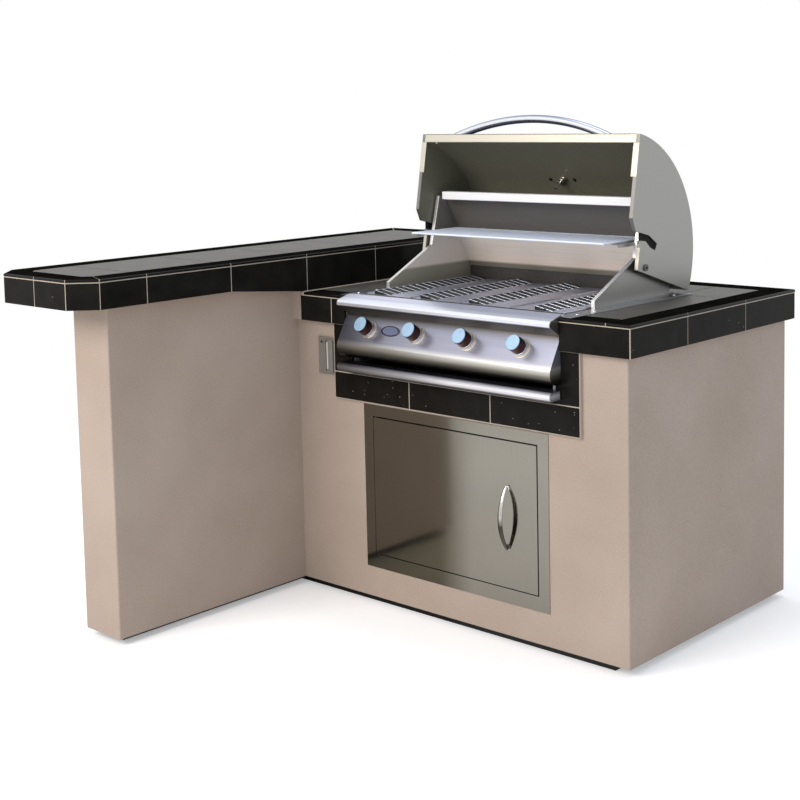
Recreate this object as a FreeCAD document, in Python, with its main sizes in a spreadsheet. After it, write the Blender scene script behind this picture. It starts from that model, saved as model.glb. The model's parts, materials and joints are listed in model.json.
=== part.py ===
import FreeCAD, Part
import math
import os
import re
import Sketcher

# Outdoor kitchen island with a raised bar, a drop in gas grill and an access door.
# Millimetres, +Z up. The origin lies on the floor, in the plane of the island's front face,
# on the grill's centre line. +X is to the right of someone at the grill, +Y goes to the back.

SIZES = dict(
    # plinth and walls
    plinth_height=22, plinth_recess=20, plinth_set_back=60, plinth_rail=40,
    base_left=632, base_right=611, base_depth=833, wall_top=858,
    bar_wall=162, bar_forward=724, bar_rise=120, bar_wall_top="=wall_top + bar_rise",
    stucco=10, board=12, stud=40, stud_wall=2, corner_round=5,
    # tile work
    tile=8, bed=3, joint=3, tile_pitch=308, grout_drop=1, border=76, nose=4,
    counter_overhang=21, counter_skirt=80, counter_top="=wall_top + counter_skirt + tile",
    deck_board=18, nailer=40,
    bar_skirt=77, bar_inner_overhang=46, bar_outer_overhang=229, bar_end_overhang=118,
    bar_chamfer=67, bar_deck_board=19, right_tile_start=276,
    # grill box, from its half width, its front, its back and its depth under the counter top
    box_half=385, box_front=12, box_back=550, box_deep=186, box_low="=counter_top - box_deep",
    sheet=2, floor_rim=85, box_hole="=box_half - floor_rim",
    hole_rim=50, hole_front="=box_front + hole_rim - sheet", hole_back="=box_back - hole_rim",
    # grill cut out and the tiles around the grill's front
    opening_gap=19, opening_half="=box_half + opening_gap",
    opening_rear=8, opening_depth="=box_back + opening_rear",
    notch_drop=51, notch_low="=box_low - notch_drop",
    surround_wide=77, surround_half="=box_half + surround_wide",
    surround_drop=81, surround_low="=notch_low - surround_drop",
    # grill flange, side walls and back panel
    flange_wide=50, flange_half="=box_half + flange_wide",
    flange_rear=42, flange_back="=box_back + flange_rear", flange_lap=5,
    slope_in=145, slope_start="=box_front + slope_in", toe_rise=24,
    slope_rear=190, slope_end="=box_back - slope_rear",
    slope_rise=126, slope_top="=counter_top + slope_rise",
    post_in=150, post_top_y="=box_back - post_in",
    post_rise=155, post_top="=slope_top + post_rise", post_wide=25,
    bend_rise=43, back_bend="=counter_top + bend_rise",
    rail_in=20, rail_half="=box_half - rail_in", rail_high=24, hem=10,
    # front lip and control panel
    panel_over=17, panel_half="=box_half + panel_over",
    lip_rise=4, lip_front=52, lip_drop=6, lip_top="=counter_top - lip_drop",
    lip_deep=15, lip_nose="=lip_top - lip_deep", lip_nose_y=57,
    crease_y=10, crease_drop=31, crease="=lip_nose - crease_drop",
    face_tilt=29.5, face_long=92, roll=33, face_sheet=1.5, panel_gap=0.5,
    # knobs and gas parts
    knob_edge=97, knob_pitch="=(box_half - knob_edge) * 2 / 3",
    knob_drop=45, bezel_r=26, bezel_thick=9, knob_r=23, knob_long=38,
    knob_skirt_r=24.5, knob_skirt=6, spindle_r=4, fit=0.05, shaft_hole=9,
    valve_r=10, valve_start=6, valve_long=22, manifold_r=9, manifold_y=8,
    manifold_rise=35, manifold_z="=box_low + manifold_rise",
    riser_r=5, inlet_r=5, inlet_drop=24, inlet_z="=box_low - inlet_drop", inlet_long=80,
    burner_r=16, burner_rise=81, burner_z="=box_low + burner_rise",
    burner_out=8, burner_front="=box_front - burner_out",
    burner_rear=35, burner_back="=box_back - burner_rear",
    # cooking parts
    cook_gap=10, cook_half="=box_half - cook_gap", ledge=16,
    grate_proud=4, grate_top="=counter_top + grate_proud", grate_thick=10,
    grate_pitch="=cook_half / 2", grate_gap=3,
    apron=34, grate_front="=box_front + apron", grate_rear=22, grate_back="=box_back - grate_rear",
    slot_long=56, slot_wide=17, slot_pitch=26, slot_from_left=65, slot_from_left_last=115,
    grate_margin=7, apron_gap=2,
    heat_rise=31, heat_low="=burner_z + heat_rise", heat_tall=28, heat_high="=heat_low + heat_tall",
    heat_half=62, heat_sheet=1.5, heat_gap=3,
    rack_rise=47, rack_z="=slope_top + rack_rise", rack_gap=23, rack_half="=box_half - rack_gap",
    rack_rear=95, rack_back="=box_back - rack_rear", rack_deep=207, rack_front="=rack_back - rack_deep",
    rack_rod=3, rack_wire=2, rack_play=0.3, rack_pitch=15,
    arm_in=42, arm_front="=rack_front + arm_in", arm_wide=16, arm_deep=10,
    # hood, about the centre of its curve
    hood_over=27, hood_half="=box_half + hood_over", hood_r=346, hood_tail=22.5,
    hood_rear=258, hood_y="=box_back - hood_rear",
    hood_clear=7.4, hood_z="=counter_top + hood_clear + hood_r * sin(hood_tail)",
    hood_gap=26, hood_sheet=1.5, hood_side=11.5, hood_open=78.7,
    pivot_in=167, pivot_y="=box_back - pivot_in", pivot_drop=29, pivot_z="=slope_top - pivot_drop",
    pivot_r=6, side_in=40, side_low_y="=pivot_y - side_in",
    side_drop=4, side_low_z="=pivot_z - side_drop", notch_back=100, notch_high=100,
    grip_angle=75, grip_r=12.5, grip_in=112, grip_half="=hood_half - grip_in",
    grip_rise=59.2, grip_sink=8,
    dial_angle=37.3, dial_r=30, dial_deep=12, dial_gap=0.3, stem_r=3, stem_long=45,
    # drip tray, hung under the grill box
    tray_gap=30, tray_half="=box_half - tray_gap", tray_hang=17.7, tray_rim="=box_low - tray_hang",
    tray_deep=18.3, tray_low="=tray_rim - tray_deep",
    tray_short=40, tray_back="=box_back - tray_short", tray_sheet=1.5, rim_wide=13,
    tray_lead=5, tray_play=0.3,
    rail_front=62, rail_lap=1, rail_low="=tray_low - rail_lap",
    rail_tall=27, rail_top="=rail_low + rail_tall", rail_back=14, guide_wide=10, guide_gap=2,
    # access door
    door_open_half=313, door_open_low=158, door_open_high=586,
    door_rim_side=37, door_half="=door_open_half + door_rim_side",
    door_rim_low=42, door_low="=door_open_low - door_rim_low",
    door_rim_high=34, door_high="=door_open_high + door_rim_high",
    jamb=55, jamb_sheet=2, rough_gap=5, door_gap=3, door_deep=20,
    door_face=4, door_sheet=1.5, door_pin_r=2, door_pin_in=7, door_pin_y=1, pin_long=10,
    pull_in=106, pull_x="=door_open_half - pull_in", pull_low=275, pull_long=179,
    pull_high="=pull_low + pull_long", pull_rise=30, pull_r=5,
    catch_wide=15, catch_high=30, catch_deep=14, catch_gap=0.5,
    catch_z="=(door_open_low + door_open_high) / 2",
    # outlet
    outlet_x=503, outlet_half=35, outlet_low=695, outlet_tall=115,
    outlet_high="=outlet_low + outlet_tall", cover_thick=6,
    outlet_box_half=26, outlet_box_high=101, outlet_box_deep=50, lid_wide=31, lid_thick=4,
    lid_barrel=3, lid_gap=0.3, lid_pin_r=1.5, lid_inset=7,
    box_slack=1, cover_side=4, cover_end=12, lid_play=0.5,
    socket_sink=2, socket_deep=20, socket_pitch=40,
    blade_in=8, blade_pitch=8, blade_wide=2, blade_tall=8, blade_deep=12,
    barrel_end=20, barrel_room=5, barrel_room_deep=12,
    knuckle_end=8, knuckle_long=11, knuckle_wide=5, knuckle_deep=5.5,

    dial_lip=4, cup_deep=3, cup_sunk=1.5, stem_in=2, nut_lip=5, nut_thick=5, nut_gap=0.3,
    # screws
    screw_r=5, screw_head=2.4, screw_edge=22, screw_ahead=26,
)

doc = FreeCAD.newDocument("Island")
sheet = doc.addObject("Spreadsheet::Sheet", "Sizes")
for line, alias in enumerate(SIZES, 1):
    sheet.set("A%d" % line, alias)
    sheet.setAlias("B%d" % line, alias)
for line, text in enumerate(SIZES.values(), 1):
    sheet.set("B%d" % line, str(text))
doc.recompute()

# Places that several pieces share, each written once from the sheet's sizes.
PLACES = dict(
    bar_left="(base_left + bar_wall)",
    deck_top="(wall_top + counter_skirt - deck_bed)",
    deck_bed="(bed - grout_drop)",
    skirt_back="(tile + bed)",
    bar_deck_top="(bar_wall_top + bar_skirt - deck_bed)",
    bar_top="(bar_deck_top + deck_bed + tile)",
    bar_in="(-base_left + bar_inner_overhang)",
    bar_out="(-base_left - bar_wall - bar_outer_overhang)",
    bar_end="(-bar_forward - bar_end_overhang)",
    back_face="(base_depth + counter_overhang)",
    side_face="(base_right + counter_overhang)",
    flange_top="(counter_top + sheet)",
    wall_skin="(stucco + board)",
    face_low_y="(-crease_y - face_long * sin(face_tilt))",
    face_low_z="(crease - face_long * cos(face_tilt))",
    roll_y="(face_low_y + roll * cos(face_tilt))",
    roll_z="(face_low_z - roll * sin(face_tilt))",
    knob_y="(-crease_y - knob_drop * sin(face_tilt))",
    knob_z="(crease - knob_drop * cos(face_tilt))",
    hood_inner="(hood_r - hood_gap)",
    rough_half="(door_open_half + jamb_sheet + rough_gap)",
    rough_low="(door_open_low - jamb_sheet - rough_gap)",
    rough_high="(door_open_high + jamb_sheet + rough_gap)",
    grate_low="(grate_top - grate_thick)",
    outlet_mid="((outlet_low + outlet_high) / 2)",
    pin_x="(-door_open_half + door_gap + door_pin_in)",
    rail_y="(post_top_y - 7)",
    rail_z="(post_top + 14)",
)
WORD = re.compile(r"[A-Za-z_]\w*")


def q(text):
    """Expression text with every size named in full."""
    def swap(match):
        word = match.group(0)
        if word in PLACES:
            return q(PLACES[word])
        return "Sizes." + word if word in SIZES else word
    return WORD.sub(swap, str(text))


def size(alias):
    return float(sheet.get(alias))


def bind(thing, prop, text):
    thing.setExpression(prop, q(text))


def put(thing, x=None, y=None, z=None):
    for axis, text in (("x", x), ("y", y), ("z", z)):
        if text is not None:
            bind(thing, "Placement.Base." + axis, text)
    return thing


def block(name, x, y, z):
    """A box between a low and a high place along each axis."""
    box = doc.addObject("Part::Box", name)
    for prop, (low, high) in (("Length", x), ("Width", y), ("Height", z)):
        bind(box, prop, "(%s) - (%s)" % (high, low))
    return put(box, x[0], y[0], z[0])


TURNS = {
    "x": FreeCAD.Rotation(FreeCAD.Vector(0, 1, 0), 90),
    "y": FreeCAD.Rotation(FreeCAD.Vector(1, 0, 0), -90),
    "z": FreeCAD.Rotation(),
}


def rod(name, along, start, radius, length, sweep=None):
    """A round bar along an axis, from its start; sweep makes it a slice."""
    bar = doc.addObject("Part::Cylinder", name)
    bind(bar, "Radius", radius)
    bind(bar, "Height", length)
    if sweep is not None:
        bind(bar, "Angle", sweep)
    bar.Placement = FreeCAD.Placement(FreeCAD.Vector(), TURNS[along])
    return put(bar, *start)


def lean(name, tilt, start, radius, length, out="0"):
    """A round bar that leans back from upright by tilt degrees about X, out along its own axis."""
    bar = doc.addObject("Part::Cylinder", name)
    bind(bar, "Radius", radius)
    bind(bar, "Height", length)
    bar.Placement = FreeCAD.Placement(FreeCAD.Vector(), FreeCAD.Rotation(FreeCAD.Vector(1, 0, 0), 10))
    bind(bar, "Placement.Rotation.Angle", tilt)
    x, y, z = start
    return put(bar, x, "%s - (%s) * sin(%s)" % (y, out, tilt), "%s + (%s) * cos(%s)" % (z, out, tilt))


def profile(name, plane, points, low, high):
    """A straight length of a many sided section, drawn on one of the body's own planes."""
    body = doc.addObject("PartDesign::Body", name)
    sketch = body.newObject("Sketcher::SketchObject", name + "_section")
    base = [part for part in body.Origin.OriginFeatures if part.Role == plane + "_Plane"][0]
    sketch.AttachmentSupport = [(base, "")]
    sketch.MapMode = "FlatFace"
    count = len(points)
    ring = [FreeCAD.Vector(100 * math.cos(6.28 * i / count), 100 * math.sin(6.28 * i / count), 0)
            for i in range(count)]
    for i in range(count):
        sketch.addGeometry(Part.LineSegment(ring[i], ring[(i + 1) % count]), False)
    for i in range(count):
        sketch.addConstraint(Sketcher.Constraint("Coincident", i, 2, (i + 1) % count, 1))
    for i, corner in enumerate(points):
        for kind, way, text, start in (("DistanceX", "a", corner[0], ring[i].x),
                                       ("DistanceY", "b", corner[1], ring[i].y)):
            index = sketch.addConstraint(Sketcher.Constraint(kind, -1, 1, i, 1, start))
            sketch.renameConstraint(index, "p%d%s" % (i, way))
            bind(sketch, "Constraints.p%d%s" % (i, way), text)
    pad = body.newObject("PartDesign::Pad", name + "_pad")
    pad.Profile = sketch
    pad.SideType = "Symmetric"
    bind(pad, "Length", "(%s) - (%s)" % (high, low))
    axis = {"YZ": "x", "XZ": "y", "XY": "z"}[plane]
    return put(body, **{axis: "((%s) + (%s)) / 2" % (low, high)})


def fuse(name, parts):
    if len(parts) == 1:
        return parts[0]
    whole = doc.addObject("Part::MultiFuse", name)
    whole.Shapes = parts
    return whole


def group(name, parts):
    whole = doc.addObject("Part::Compound", name)
    whole.Links = parts
    return whole


def cut(name, base, tools):
    result = doc.addObject("Part::Cut", name)
    result.Base = base
    result.Tool = fuse(name + "_tools", tools)
    return result


def mirror(name, source):
    """The same piece on the other side of the grill's centre line."""
    twin = doc.addObject("Part::Mirroring", name)
    twin.Source = source
    twin.Base = FreeCAD.Vector(0, 0, 0)
    twin.Normal = FreeCAD.Vector(1, 0, 0)
    return twin


def pair(name, source):
    return group(name, [source, mirror(name + "_twin", source)])


def tube(name, x, y, z, along):
    """A square steel stud or rail, open at its two ends."""
    inside = []
    for axis, (low, high) in zip("xyz", (x, y, z)):
        grow = "-1" if axis == along else "stud_wall"
        inside.append(("%s + %s" % (low, grow), "%s - (%s)" % (high, grow)))
    return cut(name, block(name + "_out", x, y, z), [block(name + "_in", *inside)])


def rounded(name, source, radius, test):
    """Rounds the edges whose two ends pass the test."""
    doc.recompute()
    chosen = []
    for index, edge in enumerate(source.Shape.Edges, 1):
        ends = [vertex.Point for vertex in edge.Vertexes]
        if len(ends) == 2 and test(ends[0], ends[1]):
            chosen.append((index, radius, radius))
    result = doc.addObject("Part::Fillet", name)
    result.Base = source
    result.Edges = chosen
    return result


NODES = []


def node(thing, name):
    thing.Label = name
    NODES.append(thing)
    return thing


# walls

def wall_cuts(tag, low_y, high_y):
    """The door, grill and outlet openings through a layer of the front wall."""
    y = ("%s - 1" % low_y, "%s + 1" % high_y)
    return [
        block(tag + "_door", ("-rough_half", "rough_half"), y, ("rough_low", "rough_high")),
        block(tag + "_grill", ("-box_half - sheet", "box_half + sheet"), y, ("notch_low", "bar_top")),
        block(tag + "_outlet", ("-outlet_x - outlet_box_half", "-outlet_x + outlet_box_half"), y,
              ("outlet_mid - outlet_box_high / 2", "outlet_mid + outlet_box_high / 2")),
    ]


def make_plinth():
    z = ("0", "plinth_height")
    low_x = "-base_left - bar_wall + plinth_rail"
    right = "base_right - plinth_set_back"
    back = "base_depth - plinth_set_back"
    rails = [
        block("plinth_bar", (low_x, "-base_left - plinth_rail"),
              ("-bar_forward + plinth_rail", back), z),
        block("plinth_front", ("-base_left - plinth_rail", right),
              ("plinth_recess", "plinth_recess + plinth_rail"), z),
        block("plinth_right", (right + " - plinth_rail", right), ("plinth_recess", back), z),
        block("plinth_back", ("-base_left - plinth_rail", right), (back + " - plinth_rail", back), z),
    ]
    node(fuse("plinth_whole", rails), "plinth")


def make_base_frame():
    left = "-base_left - stucco"
    front = ("wall_skin", "wall_skin + stud")
    back = ("base_depth - wall_skin - stud", "base_depth - wall_skin")
    side = ("base_right - wall_skin - stud", "base_right - wall_skin")
    low = ("plinth_height", "plinth_height + stud")
    high = ("wall_top - stud", "wall_top")
    posts = ("plinth_height + stud", "wall_top - stud")
    inner = "base_right - wall_skin - stud"
    beside = "box_half + sheet"
    parts = [
        tube("rail_front_low", (left, inner), front, low, "x"),
        tube("rail_back_low", (left, inner), back, low, "x"),
        tube("rail_back_high", (left, inner), back, high, "x"),
        tube("rail_right_low", side, ("wall_skin", "base_depth - wall_skin"), low, "y"),
        tube("rail_right_high", side, ("wall_skin", "base_depth - wall_skin"), high, "y"),
        tube("rail_front_left", (left, "-%s" % beside.replace(" + ", " - ")), front, high, "x"),
        tube("rail_front_right", (beside, inner), front, high, "x"),
        tube("header", ("-box_half - sheet", "box_half + sheet"), front,
             ("rough_high + 10", "rough_high + 10 + stud"), "x"),
    ]
    for tag, x in (("a", left), ("b", "-box_half - sheet - stud"), ("c", "box_half + sheet")):
        parts.append(tube("stud_front_" + tag, (x, x + " + stud"), front, posts, "z"))
    for tag, x in (("a", left), ("b", "-stud / 2")):
        parts.append(tube("stud_back_" + tag, (x, x + " + stud"), back, posts, "z"))
    for tag, y in (("a", "wall_skin"), ("b", "(base_depth - stud) / 2"),
                   ("c", "base_depth - wall_skin - stud")):
        parts.append(tube("stud_side_" + tag, side, (y, y + " + stud"), posts, "z"))
    node(group("base_frame_group", parts), "base_frame")


def make_bar_frame():
    x = ("-bar_left + wall_skin", "-base_left - wall_skin")
    ends = ("-bar_forward + wall_skin", "base_depth - wall_skin")
    parts = [
        tube("bar_rail_low", x, ends, ("plinth_height", "plinth_height + stud"), "y"),
        tube("bar_rail_high", x, ends, ("bar_wall_top - stud", "bar_wall_top"), "y"),
    ]
    z = ("plinth_height + stud", "bar_wall_top - stud")
    places = [ends[0], "-bar_forward / 2", "0", "base_depth / 2", ends[1] + " - stud"]
    for i, y in enumerate(places):
        parts.append(tube("bar_stud_%d" % i, x, (y, y + " + stud"), z, "z"))
    node(group("bar_frame_group", parts), "bar_frame")


def make_boards():
    z = ("plinth_height", "wall_top")
    high = ("plinth_height", "bar_wall_top")
    inner = "-base_left - stucco"
    right = "base_right - wall_skin"
    back = ("base_depth - wall_skin", "base_depth - stucco")
    front = block("board_front_raw", (inner, right), ("stucco", "wall_skin"), z)
    node(cut("board_front_cut", front, wall_cuts("board_cut", "stucco", "wall_skin")), "board_front")
    node(block("board_right_raw", (right, "base_right - stucco"),
               ("stucco", "base_depth - stucco"), z), "board_right")
    node(block("board_back_raw", (inner, right), back, z), "board_back")
    x = ("-bar_left + wall_skin", inner + " - board")
    long = ("-bar_forward + stucco", "base_depth - stucco")
    bar = [
        block("board_bar_in", (inner + " - board", inner), long, high),
        block("board_bar_out", ("-bar_left + stucco", "-bar_left + wall_skin"), long, high),
        block("board_end_front", x, ("-bar_forward + stucco", "-bar_forward + wall_skin"), high),
        block("board_end_back", x, back, high),
    ]
    node(group("bar_board_group", bar), "bar_boards")


def make_stucco():
    base = block("stucco_base", ("-base_left - stucco", "base_right"), ("0", "base_depth"),
                 ("plinth_height", "wall_top"))
    bar = block("stucco_bar", ("-bar_left", "-base_left"), ("-bar_forward", "base_depth"),
                ("plinth_height", "bar_wall_top"))
    outer = fuse("stucco_outer", [base, bar])
    right = size("base_right")
    left = size("base_left") + size("bar_wall")
    inner = size("base_left")
    forward = size("bar_forward")
    depth = size("base_depth")
    corners = [(right, 0), (right, depth), (-left, -forward), (-inner, -forward), (-left, depth)]

    def upright(a, b):
        near = any(abs(a.x - x) < 0.1 and abs(a.y - y) < 0.1 for x, y in corners)
        return near and abs(a.x - b.x) + abs(a.y - b.y) < 0.1
    soft = rounded("stucco_soft", outer, size("corner_round"), upright)
    hollow = [
        block("stucco_hollow", ("-base_left - stucco - 1", "base_right - stucco"),
              ("stucco", "base_depth - stucco"), ("0", "wall_top + 1")),
        block("stucco_bar_hollow", ("-bar_left + stucco", "-base_left - stucco"),
              ("-bar_forward + stucco", "base_depth - stucco"), ("0", "bar_wall_top + 1")),
    ]
    node(cut("stucco_cut", soft, hollow + wall_cuts("stucco_cuts", "0", "stucco")), "stucco_coat")


# counter

def make_counter_deck():
    edge = "counter_overhang - skirt_back"
    x = ("-base_left", "base_right + " + edge)
    y = ("-(" + edge + ")", "base_depth + " + edge)
    hole_y = (y[0] + " - 1", "opening_depth")
    z = ("deck_top - deck_board", "deck_top")
    hole = block("deck_hole", ("-opening_half", "opening_half"), hole_y, (z[0] + " - 1", z[1] + " + 1"))
    node(cut("deck_cut", block("deck_raw", x, y, z), [hole]), "counter_deck")
    low = ("wall_top", "deck_top - deck_board")
    ring = block("nailer_raw", x, y, low)
    room = ("wall_top - 1", "deck_top")
    holes = [
        block("nailer_hole", (x[0] + " + nailer", "-opening_half - nailer"),
              (y[0] + " + nailer", y[1] + " - nailer"), room),
        block("nailer_hole_right", ("opening_half + nailer", x[1] + " - nailer"),
              (y[0] + " + nailer", y[1] + " - nailer"), room),
        block("nailer_hole_back", ("-opening_half - nailer - 1", "opening_half + nailer + 1"),
              ("opening_depth + nailer", y[1] + " - nailer"), room),
        block("nailer_grill", ("-opening_half", "opening_half"), hole_y, room),
    ]
    node(cut("nailer_cut", ring, holes), "counter_nailer")


def span(total_low, total_high, joints):
    """Tile runs between two ends, with half a joint taken off at each inner joint."""
    marks = [total_low] + joints + [total_high]
    runs = []
    for i in range(len(marks) - 1):
        low = marks[i] + (" + joint / 2" if i else "")
        high = marks[i + 1] + (" - joint / 2" if i < len(marks) - 2 else "")
        runs.append((low, high))
    return runs


def make_counter_tiles():
    top = ("deck_top + deck_bed", "counter_top")
    left, right = "bar_in + joint", "side_face"
    front, back = "-counter_overhang", "back_face"
    field_right = (right + " - border - joint",)
    side_marks = [front + " + right_tile_start", front + " + right_tile_start + tile_pitch"]
    field = []
    runs = span(front + " + border + joint", back + " - border - joint", side_marks)
    for i, y in enumerate(runs):
        field.append(block("field_right_%d" % i, ("opening_half + joint / 2", field_right[0]), y, top))
    left_marks = ["opening_depth - tile_pitch"]
    for i, y in enumerate(span(front + " + border + joint", "opening_depth", left_marks)):
        field.append(block("field_left_%d" % i, (left, "-opening_half - joint / 2"), y, top))
    marks = ["-surround_half + tile_pitch * %d" % i for i in range(4)]
    back_y = ("opening_depth + joint", back + " - border - joint")
    for i, x in enumerate(span(left, "opening_half - joint / 2", marks[:3])):
        field.append(block("field_back_%d" % i, x, back_y, top))
    node(group("counter_field_group", field), "counter_field_tiles")
    border = []
    border.append(block("border_left", (left, "-opening_half"), (front, front + " + border"), top))
    border.append(block("border_front", ("opening_half", right + " - border - joint"),
                        (front, front + " + border"), top))
    for i, y in enumerate(span(front, back, side_marks)):
        border.append(block("border_side_%d" % i, (right + " - border", right), y, top))
    for i, x in enumerate(span(left, right + " - border - joint", marks)):
        border.append(block("border_back_%d" % i, x, (back + " - border", back), top))
    raw = group("counter_border_raw", border)
    high = size("wall_top") + size("counter_skirt") + size("tile")
    x_face = size("base_right") + size("counter_overhang")
    y_front = -size("counter_overhang")
    y_back = size("base_depth") + size("counter_overhang")

    def outside(a, b):
        if abs(a.z - high) > 0.1 or abs(b.z - high) > 0.1:
            return False
        for one, two, face in ((a.x, b.x, x_face), (a.y, b.y, y_front), (a.y, b.y, y_back)):
            if abs(one - face) < 0.1 and abs(two - face) < 0.1:
                return True
        return False
    node(rounded("counter_border_soft", raw, size("nose"), outside), "counter_border_tiles")
    skirt_z = ("wall_top", "wall_top + counter_skirt - joint")
    skirt = []
    corner = "side_face - joint"
    for i, (low, high_x) in enumerate(span("bar_in - skirt_back", "-opening_half", ["-surround_half"])):
        skirt.append(block("skirt_left_%d" % i, (low, high_x), (front, front + " + tile"), skirt_z))
    points = [("opening_half", front), (corner, front), (corner + " - tile", front + " + tile"),
              ("opening_half", front + " + tile")]
    skirt.append(profile("skirt_front", "XY", points, *skirt_z))
    for i, (low, high_y) in enumerate(span(front, back, side_marks)):
        first = "joint" if i == 0 else "0"
        cant = "tile" if i == 0 else "0"
        last = "joint" if i == 2 else "0"
        cant_back = "tile" if i == 2 else "0"
        points = [("side_face", low + " + " + first), ("side_face", high_y + " - " + last),
                  ("side_face - tile", "%s - %s - %s" % (high_y, last, cant_back)),
                  ("side_face - tile", "%s + %s + %s" % (low, first, cant))]
        skirt.append(profile("skirt_side_%d" % i, "XY", points, *skirt_z))
    for i, (low, high_x) in enumerate(span("-base_left", corner, marks)):
        cant = " - tile" if i == 4 else ""
        points = [(low, back), (high_x, back), (high_x + cant, back + " - tile"), (low, back + " - tile")]
        skirt.append(profile("skirt_back_%d" % i, "XY", points, *skirt_z))
    node(group("counter_skirt_group", skirt), "counter_skirt_tiles")
    shell = block("counter_grout_raw", ("bar_in - tile", "side_face - grout_drop"),
                  (front + " + grout_drop", back + " - grout_drop"),
                  ("wall_top", "counter_top - grout_drop"))
    under_bar = [
        block("counter_grout_" + tag, ("-base_left", "bar_in"), y, ("wall_top", "deck_top"))
        for tag, y in (("front", (front + " + grout_drop", front + " + skirt_back")),
                       ("back", (back + " - skirt_back", back + " - grout_drop")))
    ]
    inside = block("counter_grout_core", ("bar_in - tile - 1", "side_face - skirt_back"),
                   (front + " + skirt_back", back + " - skirt_back"), ("wall_top - 1", "deck_top"))
    hole = block("counter_grout_hole", ("-opening_half", "opening_half"),
                 (front + " - 1", "opening_depth"), ("wall_top - 1", "counter_top + 1"))
    tools = [inside, hole] + field + border + skirt
    whole = cut("counter_grout_cut", fuse("counter_grout_whole", [shell] + under_bar), tools)
    node(group("counter_grout_group", [whole, make_surround()]), "counter_grout")


def make_surround():
    y = ("-skirt_back", "-bed")
    row_z = ("surround_low", "notch_low - joint / 2")
    tiles = []
    marks = ["-surround_half + tile_pitch", "-surround_half + tile_pitch * 2"]
    for i, x in enumerate(span("-surround_half", "surround_half", marks)):
        tiles.append(block("surround_row_%d" % i, x, y, row_z))
    side_z = ("notch_low + joint / 2", "wall_top - joint")
    side = block("surround_side", ("box_half", "surround_half"), y, side_z)
    tiles += [side, mirror("surround_side_twin", side)]
    node(group("surround_group", tiles), "surround_tiles")
    edge = "surround_half + grout_drop * 2"
    shell = block("surround_bed", ("-(%s)" % edge, edge), ("-skirt_back + grout_drop", "0"),
                  ("surround_low - grout_drop * 2", "wall_top"))
    hole = block("surround_hole", ("-box_half", "box_half"), ("-skirt_back - 1", "1"),
                 ("notch_low", "wall_top + 1"))
    return cut("surround_grout_cut", shell, [hole] + tiles)


# bar top

def bar_outline(inset):
    """Corners of the bar top, drawn in by an inset, with its two cut front corners."""
    mitre = "(%s) * 0.41421" % inset
    return [
        ("bar_in - (%s)" % inset, "back_face - (%s)" % inset),
        ("bar_in - (%s)" % inset, "bar_end + bar_chamfer + " + mitre),
        ("bar_in - bar_chamfer - " + mitre, "bar_end + (%s)" % inset),
        ("bar_out + bar_chamfer + " + mitre, "bar_end + (%s)" % inset),
        ("bar_out + (%s)" % inset, "bar_end + bar_chamfer + " + mitre),
        ("bar_out + (%s)" % inset, "back_face - (%s)" % inset),
    ]


def strips(tag, marks, z, near, far):
    """Tiles around the bar's edge between two insets, cut square at the marks along each side."""
    outer, inner = bar_outline(near), bar_outline(far)
    gap = "joint / 2"
    parts = []

    def run(name, x_near, x_far, starts):
        for i, (a, b) in enumerate(starts):
            points = [(x_near, a[0]), (x_near, b[0]), (x_far, b[1]), (x_far, a[1])]
            parts.append(profile("%s_%s_%d" % (tag, name, i), "XY", points, *z))
    for name, first, second in (("in", 1, 0), ("out", 4, 5)):
        stops = [(outer[first][1] + " + " + gap, inner[first][1] + " + " + gap)]
        spans = []
        for mark in marks:
            spans.append((stops[-1], (mark + " - " + gap,) * 2))
            stops.append((mark + " + " + gap,) * 2)
        spans.append((stops[-1], (outer[second][1] + " - joint", inner[second][1])))
        run(name, outer[first][0], inner[first][0], spans)
    middle = "(bar_in + bar_out) / 2"
    ends = [
        [(outer[2][0] + " - " + gap, outer[2][1]), (middle + " + " + gap, outer[2][1]),
         (middle + " + " + gap, inner[2][1]), (inner[2][0] + " - " + gap, inner[2][1])],
        [(outer[3][0] + " + " + gap, outer[3][1]), (middle + " - " + gap, outer[3][1]),
         (middle + " - " + gap, inner[3][1]), (inner[3][0] + " + " + gap, inner[3][1])],
    ]
    for i, points in enumerate(ends):
        parts.append(profile("%s_end_%d" % (tag, i), "XY", points, *z))
    step = "joint * 0.35"
    corners = [
        (outer[1], outer[2], inner[2], inner[1], "-"), (outer[4], outer[3], inner[3], inner[4], "+"),
    ]
    for i, (a, b, c, d, way) in enumerate(corners):
        points = [(a[0] + " %s " % way + step, a[1] + " - " + step),
                  (b[0] + " %s -(%s)" % (way, step), b[1] + " + " + step),
                  (c[0] + " %s -(%s)" % (way, step), c[1] + " + " + step),
                  (d[0] + " %s " % way + step, d[1] + " - " + step)]
        parts.append(profile("%s_corner_%d" % (tag, i), "XY", points, *z))
    points = [(outer[0][0] + " - joint", outer[0][1]), (outer[5][0] + " + joint", outer[0][1]),
              (inner[5][0] + " + joint", inner[0][1]), (inner[0][0] + " - joint", inner[0][1])]
    parts.append(profile(tag + "_back", "XY", points, *z))
    return parts


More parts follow.
